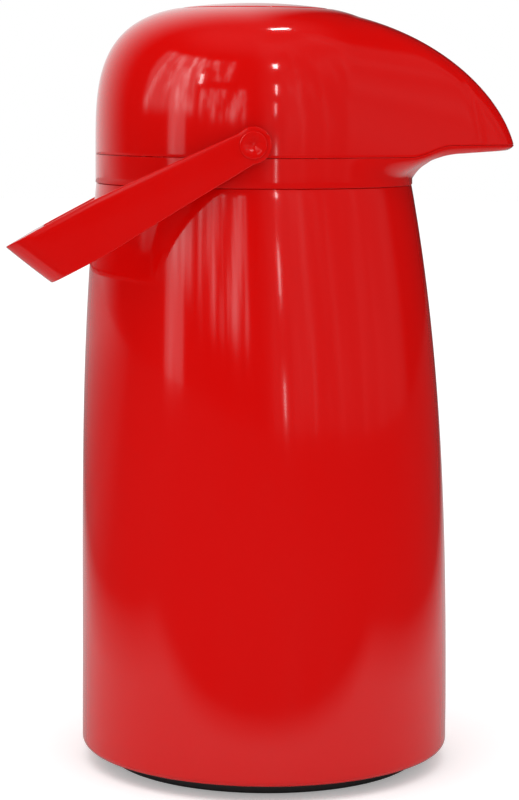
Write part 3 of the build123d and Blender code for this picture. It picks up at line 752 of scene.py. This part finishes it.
def underCut(z, angle):
    # how far the beak's underside lets a column of the band reach; the back half is never cut
    look = headLook
    if cos(angle) < look["sideCosine"]:
        return 9.0
    return max(look["radius"], (underReach(z) - headX) / cos(angle))


def makeCollar():
    look = headLook
    angles = headAngles()
    count = len(angles)
    outer = rowTable(look["seamLow"], domeHigh.z, 0, angles, look["tableLevels"])
    seams = seamLine(angles, outer)
    low = bodyHigh.z + look["seamGap"]
    profiles = []
    for i, angle in enumerate(angles):
        seam = seams[i] - look["seamGap"] / 2
        edge = outer(i, seams[i])
        strength = smooth(max(0.0, edge - look["radius"]) / look["lipGrow"])
        # heights between which the underside, not the swelling side, is the surface
        cutSteps = look["cutSteps"]
        fine = [mix(look["flareLow"], look["lipLow"], k / cutSteps) for k in range(cutSteps + 1)]
        inside = [z for z in fine if underCut(z, angle) < flareReach(z, edge, seam) - 1e-6]
        if inside:
            first, last = inside[0], inside[-1]
        else:
            first = last = mix(look["flareLow"], look["underHigh"], look["plainShare"])
        bend = min(last, look["underHigh"])
        points = []
        for step in range(look["sideRows"] + 1):
            z = mix(look["flareLow"], first, step / look["sideRows"])
            points.append(Vector((flareReach(z, edge, seam), z)))
        for step in range(1, look["underRows"] + 1):
            share = step / look["underRows"]
            z = mix(first, bend, sin(pi / 2 * share) if inside else share)
            points.append(Vector((min(underCut(z, angle), flareReach(z, edge, seam)), z)))
        for step in range(1, look["tipRows"] + 1):
            z = mix(bend, last, step / look["tipRows"])
            points.append(Vector((min(underCut(z, angle), flareReach(z, edge, seam)), z)))
        corner = len(points) - 1
        for step in range(1, look["lipRows"] + 1):
            z = mix(last, seam, step / look["lipRows"])
            points.append(Vector((flareReach(z, edge, seam), z)))
        points[-1] = Vector((edge, seam))
        topIndex = len(points) - 1
        outerLine = list(points)
        points = points[:topIndex - 1]
        if strength > 0.02:
            points = roundCorner(points, corner, look["lipRound"] * strength)
        else:
            points = points[:corner] + [points[corner]] * 5 + points[corner + 1:]
        for step in range(5):
            turn = pi / 2 * step / 4
            points.append(Vector((edge - look["seamRound"] * (1 - cos(turn)),
                                  seam - look["seamRound"] * (1 - sin(turn)))))
        start = [Vector((look["radius"] - look["wall"], low + look["small"])),
                 Vector((look["radius"] - look["wall"] + look["small"], low))]
        for step in range(5):
            turn = pi / 2 * step / 4
            start.append(Vector((look["radius"] - look["seamRound"] * (1 - sin(turn)),
                                 low + look["seamRound"] * (1 - cos(turn)))))
        wall = mix(look["wall"], look["lipWall"], strength)
        insideEdge = edge - max(wall, look["leastWall"])
        inner = [Vector((insideEdge, seam))]
        for index in range(len(outerLine) - 1, -1, -2):
            before, after = outerLine[max(0, index - 2)], outerLine[min(len(outerLine) - 1, index + 2)]
            along = after - before
            along = along.normalized() if along.length > 1e-9 else Vector((0, 1))
            shifted = outerLine[index] + Vector((-along.y, along.x)) * wall
            last = inner[-1]
            inner.append(Vector((min(shifted.x, insideEdge, last.x),
                                 max(min(shifted.y, last.y), look["flareLow"]))))
        profiles.append(start + points + inner)
    rings = []
    for row in range(len(profiles[0])):
        rings.append([ringPoint(angles[i], profiles[i][row].x, profiles[i][row].y) for i in range(count)])
    shell = tidyMesh(meshFromRings(rings))
    wall = look["radius"] - look["wall"] + look["overlap"]
    tiny = look["small"]
    floor = turned(rounded([(look["floorBore"], look["floorLow"], tiny), (wall, look["floorLow"], 0),
                            (wall, look["floorHigh"], 0), (look["floorBore"], look["floorHigh"], tiny)]),
                   redGloss, 160, headX)
    skirtTop = look["floorLow"] + look["overlap"]
    skirtInner, skirtOuter = look["skirtInner"], look["skirtOuter"]
    skirt = turned(rounded([(skirtInner, look["skirtLow"], tiny), (skirtOuter, look["skirtLow"], tiny),
                            (skirtOuter, skirtTop, 0), (skirtInner, skirtTop, 0)]), redGloss, 160, headX)
    mesh = joinMeshes("collarBand", [shell, floor, skirt])
    piece = placePiece("collarBand", mesh, "head", ["collar"], redGloss)
    cutHole(piece, look["nozzleX"], look["nozzleRadius"])
    return piece


def cutHole(piece, x, radius):
    # the spout's hole through the beak's underside
    low, high = headLook["drillLow"], headLook["drillHigh"]
    drill = turned([(1e-5, low), (radius, low), (radius, high), (1e-5, high)], redGloss, 64, x)
    cutter = bpy.data.objects.new("drill", drill)
    bpy.context.scene.collection.objects.link(cutter)
    hole = piece.modifiers.new("hole", "BOOLEAN")
    hole.object = cutter
    hole.solver = "EXACT"
    bpy.context.view_layer.update()
    seen = piece.evaluated_get(bpy.context.evaluated_depsgraph_get())
    mesh = bpy.data.meshes.new_from_object(seen)
    piece.modifiers.clear()
    if len(mesh.polygons) > 1000:               # an empty result is not kept
        piece.data = mesh
    bpy.data.objects.remove(cutter)


def makeButton():
    look = {"radius": 27.9 * mm, "wall": 2.2 * mm, "edge": 290.1 * mm, "catchRadius": 29.6 * mm,
            "catchHeight": 2 * mm, "edgeRound": 0.8 * mm, "steps": 26, "small": 0.3 * mm}
    low, crown = buttonLow.z, buttonHigh.z
    rise = crown - look["edge"]
    flat = look["radius"] - look["edgeRound"]
    rows = []
    for step in range(look["steps"] + 1):       # crowned top, from the middle out
        r = max(flat * step / look["steps"], 1e-5)
        rows.append((r, crown - rise * (r / look["radius"]) ** 2))
    lastZ = rows[-1][1]
    for step in range(1, 7):
        angle = pi / 2 * step / 6
        rows.append((flat + look["edgeRound"] * sin(angle), lastZ - look["edgeRound"] * (1 - cos(angle))))
    catchTop = low + look["catchHeight"]
    inner = look["radius"] - look["wall"]
    small = look["small"]
    ceiling = look["edge"] - look["wall"]
    rows += [(look["radius"], catchTop), (look["catchRadius"] - small, catchTop),
             (look["catchRadius"], catchTop - small), (look["catchRadius"], low + small),
             (look["catchRadius"] - small, low), (inner + small, low), (inner, low + small),
             (inner, ceiling - 1 * mm), (inner - 1 * mm, ceiling), (1e-5, ceiling)]
    mesh = turned(rows, redGloss, 160, headX)
    return placePiece("pressButton", mesh, "button", ["push_button"], redGloss)


makeBody()
makeDome()
makeCollar()
makeButton()
print("shells made")


# ---- carrying handle: a crowned strap bent into a U

handleLook = {
    "thickness": 4.4 * mm, "clearance": 0.7 * mm, "drop": 28.0, "hubRadius": 6.6 * mm,
    "length": 96.8 * mm, "endUpper": 9.0 * mm, "endLower": 10.3 * mm, "slant": 8.3 / 18.4,
    "bulgeAt": 58 * mm, "bulge": 9.3 * mm, "lowerAt": 69.5 * mm, "corner": 10 * mm,
    "capRadius": 5.0 * mm, "capProud": 0.45 * mm, "capRound": 0.45 * mm,
    "edgeRound": 0.5 * mm, "innerRound": 0.5 * mm, "camber": 0.15 * mm, "pivotHeight": 239.8 * mm,
    "neck": 0.6 * mm, "slantFrom": 0.35, "slantOver": 0.4, "capDepth": 1 * mm,
    "endRows": 12, "armRows": 54, "cornerRows": 14, "crossRows": 30,
}


def strapHeights(along):
    look = handleLook
    hub = look["hubRadius"]
    if along <= 0:
        reach = sqrt(max(0.0, hub ** 2 - along ** 2))
        return reach, reach
    upper = mix(hub - look["neck"], look["bulge"], min(1.0, along / look["bulgeAt"]))
    if along > look["bulgeAt"]:
        share = (along - look["bulgeAt"]) / (look["length"] - look["bulgeAt"])
        upper = mix(look["bulge"], look["endUpper"], min(1.0, share))
    lower = mix(hub - look["neck"], look["endLower"], min(1.0, along / look["lowerAt"]))
    if along < hub:
        circle = sqrt(hub ** 2 - along ** 2)
        upper, lower = max(upper, circle), max(lower, circle)
    return upper, lower


def strapSection(upper, lower):
    # outline across the strap: x runs outwards through its thickness, y up its width
    look = handleLook
    half = (upper + lower) / 2
    outRound = min(look["edgeRound"], half * 0.9)
    inRound = min(look["innerRound"], half * 0.9)
    thickness = look["thickness"]
    outline = []
    for sign in (-1, 1):
        steps = range(7) if sign < 0 else range(6, -1, -1)
        for step in steps:
            angle = pi / 2 * step / 6
            x = thickness - outRound + outRound * sin(angle)
            y = sign * (half - outRound + outRound * cos(angle))
            outline.append([x, y])
        if sign < 0:
            for step in range(1, 8):
                outline.append([thickness, mix(-half + outRound, half - outRound, step / 8)])
    for sign in (1, -1):
        steps = range(5) if sign > 0 else range(4, -1, -1)
        for step in steps:
            angle = pi / 2 * step / 4
            x = inRound - inRound * sin(angle)
            y = sign * (half - inRound + inRound * cos(angle))
            outline.append([x, y])
    for point in outline:
        point[0] -= look["camber"] * (point[1] / half) ** 2 * (point[0] / thickness)
        point[1] += (upper - lower) / 2
    return outline


def makeHandle():
    look = handleLook
    inner = headLook["radius"] + look["clearance"]
    reach = look["length"] - look["slant"] * look["endUpper"]      # where the cross bar ends
    hub = look["hubRadius"]
    innerCorner = look["corner"] - look["thickness"]
    path = []                                    # along, across, outward direction of the inner face
    straight = reach - look["thickness"] - innerCorner
    for step in range(look["endRows"] + 1):      # round end of the arm
        angle = pi / 2 * step / look["endRows"]
        path.append((-hub * cos(angle) * 0.999, inner, (0, 1)))
    for step in range(1, look["armRows"] + 1):
        path.append((straight * step / look["armRows"], inner, (0, 1)))
    cornerX, cornerY = straight, inner - innerCorner
    for step in range(1, look["cornerRows"] + 1):
        angle = pi / 2 * step / look["cornerRows"]
        path.append((cornerX + innerCorner * sin(angle), cornerY + innerCorner * cos(angle),
                     (sin(angle), cos(angle))))
    for step in range(1, look["crossRows"]):
        path.append((cornerX + innerCorner, mix(cornerY, -cornerY, step / look["crossRows"]), (1, 0)))
    oneArm = path[:look["endRows"] + 1 + look["armRows"] + look["cornerRows"]]
    path += [(along, -across, (out[0], -out[1])) for along, across, out in reversed(oneArm)]
    rings = []
    for along, across, out in path:
        upper, lower = strapHeights(min(along + look["thickness"] * out[0], look["length"]))
        ring = []
        for x, y in strapSection(upper, lower):
            u = along + out[0] * x
            v = across + out[1] * x
            blend = smooth((u / look["length"] - look["slantFrom"]) / look["slantOver"])
            ring.append(Vector((u + look["slant"] * y * blend, v, y)))
        rings.append(ring)
    mesh = meshFromRings(rings, closeLoop=False)
    bm = bmesh.new()
    bm.from_mesh(mesh)
    bm.verts.ensure_lookup_table()
    count = len(rings[0])
    bm.faces.new(bm.verts[:count])
    bm.faces.new(list(reversed(bm.verts[-count:])))
    bm.to_mesh(mesh)
    bm.free()
    # the strap is drawn pointing along +X; at rest it points back and down
    back = Matrix.Rotation(radians(180 - look["drop"]), 4, "Y") @ Matrix.Rotation(pi, 4, "X")
    mesh.transform(Matrix.Translation((headX, 0, look["pivotHeight"])) @ back)
    tidyMesh(mesh)
    parts = [mesh]
    face = inner + look["thickness"]
    for side in (-1, 1):                         # raised pads over the pivots
        start, end = face - look["capDepth"], face + look["capProud"]
        cap = turned(rounded([(1e-5, start, 0), (look["capRadius"], start, 0),
                              (look["capRadius"], end, look["capRound"]), (1e-5, end, 0)]), redGloss, 48)
        cap.transform(Matrix.Rotation(-side * pi / 2, 4, "X"))
        cap.transform(Matrix.Translation((headX, 0, look["pivotHeight"])))
        parts.append(cap)
    mesh = joinMeshes("carryHandle", parts)
    return placePiece("carryHandle", mesh, "handle", ["handle"], redGloss)


makeHandle()
print("handle made")


# ---- swivel foot and its grip ring

def makeFoot():
    look = {"edgeRound": 1.0 * mm, "segments": 192, "stud": 8.0 * mm, "recess": 13.0 * mm,
            "step": 1.65 * mm, "slack": 0.1 * mm, "small": 0.2 * mm, "padWidth": 7.0 * mm}
    low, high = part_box("foot_disc")
    _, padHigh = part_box("grip_ring")
    radius = high.x
    seat = low.z + look["step"]
    inner, outer = padHigh.x - look["padWidth"] - look["slack"], padHigh.x + look["slack"]
    rows = rounded([
        (look["stud"], high.z, look["small"]), (look["stud"], seat, 0), (look["recess"], seat, 0),
        (look["recess"], low.z, look["small"]), (inner, low.z, look["small"]), (inner, padHigh.z, 0),
        (outer, padHigh.z, 0), (outer, low.z, look["small"]),
        (radius, low.z, look["edgeRound"]), (radius, high.z, look["edgeRound"])])
    mesh = turned(rows, blackPlastic, look["segments"])
    placePiece("swivelFoot", mesh, "foot", ["foot_disc"], blackPlastic)


def ribBlock(size, roundness):
    # a small block with bevelled edges, standing at the origin
    bm = bmesh.new()
    bmesh.ops.create_cube(bm, size=1.0)
    bmesh.ops.scale(bm, vec=size, verts=bm.verts)
    bmesh.ops.bevel(bm, geom=bm.edges[:], offset=roundness, segments=1, affect="EDGES")
    mesh = bpy.data.meshes.new("rib")
    bm.to_mesh(mesh)
    bm.free()
    return mesh


def makeGrip():
    look = {"width": 7.0 * mm, "edge": 0.5 * mm, "small": 0.2 * mm, "ribs": 60,
            "ribWidth": 1.6 * mm, "ribHeight": 0.8 * mm, "ribInset": 1.2 * mm}
    low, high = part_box("grip_ring")
    outer, inner = high.x, high.x - look["width"]
    edge, small = look["edge"], look["small"]
    base = low.z + look["ribHeight"] / 2
    ring = turned(rounded([(inner, base, edge), (outer, base, edge), (outer, high.z, small),
                           (inner, high.z, small)]), blackRubber, 160)
    block = ribBlock((look["width"] - look["ribInset"], look["ribWidth"], look["ribHeight"]), small)
    ribs = growMesh(ringRow, {"Count": look["ribs"], "Radius": (inner + outer) / 2,
                              "Height": base}, blackRubber, block)
    mesh = joinMeshes("gripRing", [ring, ribs])
    placePiece("gripRing", mesh, "foot", ["grip_ring"], blackRubber)


makeFoot()
makeGrip()
print("foot made")


# ---- works inside the head: threaded ring, bellows and return spring

def makeNeckRing():
    look = {"ridgeRadius": 0.75 * mm, "ridgeOut": 0.15 * mm, "bore": 43.4 * mm, "outer": 46.2 * mm,
            "turns": 1.6, "pitch": 2.6 * mm, "topGap": 1.6 * mm, "edge": 0.4 * mm}
    low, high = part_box("neck_ring")
    ring = turned(rounded([(look["bore"], low.z, look["edge"]), (look["outer"], low.z, look["edge"]),
                           (look["outer"], high.z, look["edge"]), (look["bore"], high.z, look["edge"])]),
                  blackPlastic, 160, headX)
    climb = look["turns"] * look["pitch"]
    ridge = look["outer"] + look["ridgeOut"]
    thread = growMesh(woundCoil, {
        "Turns": look["turns"], "Start Radius": ridge, "End Radius": ridge,
        "Height": climb, "Wire Radius": look["ridgeRadius"], "Steps": 128, "Sides": 12,
        "Place": (headX, 0.0, high.z - climb - look["topGap"])}, blackPlastic)
    mesh = joinMeshes("neckRing", [ring, thread])
    placePiece("neckRing", mesh, "pot", ["neck_ring"], blackPlastic)


def makeBellows():
    look = {"outer": 24.4 * mm, "inner": 20.4 * mm, "folds": 4, "wall": 0.9 * mm, "steps": 12, "keep": 0.29}
    low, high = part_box("bellows")
    outside, inside = [], []
    total = look["folds"] * look["steps"]
    middleRadius = (look["outer"] + look["inner"]) / 2
    swing = (look["outer"] - look["inner"]) / 2
    for step in range(total + 1):
        z = mix(low.z, high.z, step / total)
        r = middleRadius - swing * cos(2 * pi * look["folds"] * step / total)
        outside.append((r, z))
        inside.append((r - look["wall"], z))
    mesh = turned(outside + inside[::-1], sealRubber, 128, headX)
    piece = placePiece("airBellows", mesh, "head", ["bellows"], sealRubber)
    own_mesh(piece)


def makeSpring():
    look = {"turns": 5, "radius": 6.5 * mm, "wire": 0.8 * mm, "closed": 0.95, "keep": 0.29}
    low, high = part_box("return_spring")
    wire = look["wire"]
    rise = high.z - low.z - 2 * wire
    bottom, top = low.z + wire, high.z - wire
    coils = []
    for turns, height, z in ((float(look["turns"]), rise, bottom), (look["closed"], 0.0, bottom),
                             (look["closed"], 0.0, top)):
        coils.append(growMesh(woundCoil, {
            "Turns": turns, "Start Radius": look["radius"], "End Radius": look["radius"], "Height": height,
            "Wire Radius": wire, "Steps": 48, "Sides": 14, "Place": (headX, 0.0, z)}, brightSteel))
    mesh = joinMeshes("returnSpring", coils)
    piece = placePiece("returnSpring", mesh, "head", ["return_spring"], brightSteel)
    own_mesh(piece)


makeNeckRing()
makeBellows()
makeSpring()
print("works made")


# ---- floor, light and camera

stageLook = {
    "camera": (-2.65 * mm, -950 * mm, 258.5 * mm), "pitch": 7.1, "roll": 0.4,
    "imageHeight": 800, "focal": 2470, "sensor": 36.0, "floorSize": 5.0, "floorGlow": 0.30,
    # these floor values set the painted light and painted shade on the floor that only reflections see
    "paintedPoolFront": 150 * mm, "paintedPoolSide": 220 * mm, "paintedPoolFade": 60 * mm, "paintedPoolShine": 0.55,
    "paintedShadeLevel": 0.05, "lampDistance": 2.0, "lampTarget": 220 * mm,
}
roomLook = {
    "dark": 0.012, "wall": 0.85, "ceiling": 0.10, "streakAcross": 0.16, "streakUp": 0.045,
    "diffuseSky": 0.93, "skySlope": -0.04,
}

# small lamps seen only in reflections: name, angle round, angle above, width, height, radiance
lamps = [
    ("lampCollar", 15.5, -1.6, 1.2, 2.4, 6),
    ("lampLow", 15, 8, 1.0, 4.0, 9),
    ("lampMiddle", 16, 18, 1.3, 6.0, 16),
    ("lampHigh", 17, 37, 3.0, 4.5, 24),
    ("lampCeiling", 127, 78, 2.6, 8.0, 30),
    ("lampWindow", -40, 24, 2.4, 7.0, 12),
]

# parts of the room seen only in reflections:
# from and to round, from and to above, softness, strength, streaked share
roomAreas = [
    (-84, -46, 8, 40, 5, 1.5, 0.6),
    (-58, -18, 24, 40, 3, 1.0, 0.9),
    (-62, -52, -2, 30, 3, 1.2, 0.3),
    (-38, -8, 5, 15, 3, 1.1, 0.95),
    (14, 100, 2, 60, 14, 0.17, 0.35),
    (26, 34, 2, 30, 5, 0.15, 0.5),
]


def band(tree, value, low, high, soft):
    # 1 between low and high, falling to 0 over the soft width on each side
    rise = addNode(tree, "ShaderNodeMapRange", {"Value": value, "From Min": low - soft, "From Max": low},
                   interpolation_type="SMOOTHSTEP")
    fall = addNode(tree, "ShaderNodeMapRange", {
        "Value": value, "From Min": high, "From Max": high + soft, "To Min": 1.0, "To Max": 0.0},
        interpolation_type="SMOOTHSTEP")
    return mathNode(tree, "MULTIPLY", rise.outputs[0], fall.outputs[0])


def makeFloor():
    mesh = bpy.data.meshes.new("floor")
    size = stageLook["floorSize"]
    corners = [(-size, -size, 0), (size, -size, 0), (size, size, 0), (-size, size, 0)]
    mesh.from_pydata(corners, [], [(0, 1, 2, 3)])
    floor = bpy.data.objects.new("floor", mesh)
    bpy.context.scene.collection.objects.link(floor)
    # pale paper floor, whose colour also carries painted light and painted shade that only reflections see
    paper = bpy.data.materials.new("palePaperWithPaintedLight")
    paper.use_nodes = True
    tree = paper.node_tree
    shader = tree.nodes["Principled BSDF"]
    place = tree.nodes.new("ShaderNodeTexCoord").outputs["Object"]
    part = addNode(tree, "ShaderNodeSeparateXYZ", {0: place})
    grain = noiseNode(tree, place, 900.0, 3.0)
    rays = tree.nodes.new("ShaderNodeLightPath")
    # painted light and shade on the floor, seen only in reflections in the pot: a pale patch that ends a
    # hand's width in front of the pot and further out at the sides, and a floor painted dark beyond it
    look = stageLook
    front = addNode(tree, "ShaderNodeMapRange", {
        "Value": part.outputs[1], "From Min": -look["paintedPoolFront"] - look["paintedPoolFade"],
        "From Max": -look["paintedPoolFront"]})
    aside = addNode(tree, "ShaderNodeMapRange", {
        "Value": mathNode(tree, "ABSOLUTE", part.outputs[0]), "From Min": look["paintedPoolSide"],
        "From Max": look["paintedPoolSide"] + 3 * look["paintedPoolFade"], "To Min": 1.0, "To Max": 0.0})
    paintedPool = mathNode(tree, "MULTIPLY", front.outputs[0], aside.outputs[0])
    # painted shade: the floor's level in reflections outside the painted light
    dark = look["paintedShadeLevel"]
    paintedFloorLight = mathNode(tree, "MULTIPLY_ADD", paintedPool, look["paintedPoolShine"] - dark, dark)
    # painted light: seen in reflections, the floor behind on the left grows paler with distance
    inBack = addNode(tree, "ShaderNodeMapRange", {
        "Value": part.outputs[1], "From Min": 0.0, "From Max": 0.4}).outputs[0]
    onLeft = addNode(tree, "ShaderNodeMapRange", {
        "Value": part.outputs[0], "From Min": 0.1, "From Max": -0.15}).outputs[0]
    paintedLightLeftBack = mathNode(tree, "MULTIPLY", inBack, onLeft)
    farBack = addNode(tree, "ShaderNodeMapRange", {
        "Value": part.outputs[1], "From Min": 0.5, "From Max": 1.8,
        "To Min": 0.15, "To Max": 0.5}).outputs[0]
    paintedFloorLight = mathNode(tree, "MAXIMUM", paintedFloorLight, mathNode(tree, "MULTIPLY", paintedLightLeftBack, farBack))
    # painted light and shade reach the colour only on reflected rays; straight on, the floor stays plain
    # pale paper
    dim = mathNode(tree, "MULTIPLY", rays.outputs["Is Glossy Ray"], mathNode(tree, "SUBTRACT", 1.0, paintedFloorLight))
    paperTone = mathNode(tree, "MULTIPLY_ADD", grain, 0.02, 0.87)
    tone = mathNode(tree, "MULTIPLY", paperTone, mathNode(tree, "SUBTRACT", 1.0, dim))
    colour = addNode(tree, "ShaderNodeCombineColor", {0: tone, 1: tone, 2: tone})
    tree.links.new(colour.outputs[0], shader.inputs["Base Color"])
    shader.inputs["Roughness"].default_value = 0.9
    shader.inputs["Specular IOR Level"].default_value = 0.1
    glow = mathNode(tree, "MULTIPLY", rays.outputs["Is Camera Ray"], look["floorGlow"])
    tree.links.new(glow, shader.inputs["Emission Strength"])
    shader.inputs["Emission Color"].default_value = (1, 1, 1, 1)
    mesh.materials.append(paper)


def makeWorld():
    # seen straight on the room is white; in reflections it is a dim room with a window on the left
    world = bpy.data.worlds.new("studio")
    bpy.context.scene.world = world
    world.use_nodes = True
    tree = world.node_tree
    background = tree.nodes["Background"]
    direction = tree.nodes.new("ShaderNodeTexCoord").outputs["Generated"]
    x, y, z = addNode(tree, "ShaderNodeSeparateXYZ", {0: direction}).outputs
    bearing = mathNode(tree, "ARCTAN2", x, mathNode(tree, "MULTIPLY", y, -1.0))
    around = mathNode(tree, "MULTIPLY", bearing, 180 / pi)
    above = mathNode(tree, "MULTIPLY", mathNode(tree, "ARCSINE", z), 180 / pi)
    # streaks: stretched noise on the angles round and above
    look = roomLook
    streakPlace = addNode(tree, "ShaderNodeCombineXYZ", {
        0: mathNode(tree, "MULTIPLY", around, look["streakAcross"]),
        1: mathNode(tree, "MULTIPLY", above, look["streakUp"])}).outputs[0]
    streak = noiseNode(tree, streakPlace, 1.0, 3.0, 0.6)
    sharp = addNode(tree, "ShaderNodeMapRange", {
        "Value": streak, "From Min": 0.48, "From Max": 0.66}).outputs[0]
    total = look["dark"]
    for fromAround, toAround, fromAbove, toAbove, soft, strength, streaked in roomAreas:
        mask = mathNode(tree, "MULTIPLY", band(tree, around, fromAround, toAround, soft),
                        band(tree, above, fromAbove, toAbove, soft))
        lift = mathNode(tree, "MULTIPLY_ADD", sharp, strength * streaked * 2.0, strength * (1 - streaked))
        total = mathNode(tree, "MULTIPLY_ADD", mask, lift, total)
    # a pale wall behind on the left, and a dim ceiling
    behind = addNode(tree, "ShaderNodeMapRange", {"Value": y, "From Min": 0.22, "From Max": 0.95},
                     interpolation_type="SMOOTHSTEP").outputs[0]
    left = addNode(tree, "ShaderNodeMapRange", {"Value": x, "From Min": 0.13, "From Max": -0.05},
                   interpolation_type="SMOOTHSTEP").outputs[0]
    total = mathNode(tree, "MULTIPLY_ADD", mathNode(tree, "MULTIPLY", behind, left), look["wall"], total)
    ceiling = addNode(tree, "ShaderNodeMapRange", {"Value": z, "From Min": 0.75, "From Max": 1.0},
                      interpolation_type="SMOOTHSTEP").outputs[0]
    total = mathNode(tree, "MULTIPLY_ADD", ceiling, look["ceiling"], total)
    rays = tree.nodes.new("ShaderNodeLightPath").outputs
    diffuse = mathNode(tree, "MULTIPLY_ADD", x, look["skySlope"], look["diffuseSky"])
    notGlossy = mathNode(tree, "SUBTRACT", 1.0, rays["Is Glossy Ray"])
    onlyDiffuse = mathNode(tree, "SUBTRACT", notGlossy, rays["Is Camera Ray"])
    plain = mathNode(tree, "MULTIPLY", onlyDiffuse, diffuse)
    strength = mathNode(tree, "MULTIPLY_ADD", rays["Is Glossy Ray"], total, plain)
    strength = mathNode(tree, "ADD", strength, rays["Is Camera Ray"])
    background.inputs["Color"].default_value = (1, 1, 1, 1)
    tree.links.new(strength, background.inputs["Strength"])


def panel(name, place, target, size, power, inDiffuse=True, inGloss=True):
    light = bpy.data.lights.new(name, "AREA")
    light.shape = "RECTANGLE"
    light.size, light.size_y = size
    light.energy = power
    holder = bpy.data.objects.new(name, light)
    bpy.context.scene.collection.objects.link(holder)
    holder.location = place
    holder.rotation_euler = (Vector(target) - Vector(place)).to_track_quat("-Z", "Y").to_euler()
    holder.visible_diffuse = inDiffuse
    holder.visible_glossy = inGloss


def lamp(name, around, above, width, height, radiance):
    distance = stageLook["lampDistance"]
    turn, rise = radians(around), radians(above)
    target = Vector((headX, 0, stageLook["lampTarget"]))
    place = target + distance * Vector((sin(turn) * cos(rise), -cos(turn) * cos(rise), sin(rise)))
    size = (2 * distance * tan(radians(width) / 2), 2 * distance * tan(radians(height) / 2))
    panel(name, place, target, size, radiance * pi * size[0] * size[1], False)


def makeStage():
    makeFloor()
    makeWorld()
    panel("overheadSoftbox", (-0.2, -0.5, 1.5), (0, 0, 0.15), (1.3, 0.9), 6.0, True, False)
    for name, around, above, width, height, radiance in lamps:
        lamp(name, around, above, width, height, radiance)
    camera = bpy.data.objects.new("camera", bpy.data.cameras.new("camera"))
    bpy.context.scene.collection.objects.link(camera)
    look = stageLook
    camera.data.sensor_width = look["sensor"]
    camera.data.lens = look["focal"] * look["sensor"] / look["imageHeight"]
    lookDown = Matrix.Rotation(radians(90 - look["pitch"]), 4, "X")
    turn = lookDown @ Matrix.Rotation(radians(look["roll"]), 4, "Z")
    camera.matrix_world = Matrix.Translation(look["camera"]) @ turn
    bpy.context.scene.camera = camera
    bpy.context.scene.view_settings.view_transform = "Standard"


makeStage()
print("stage made")
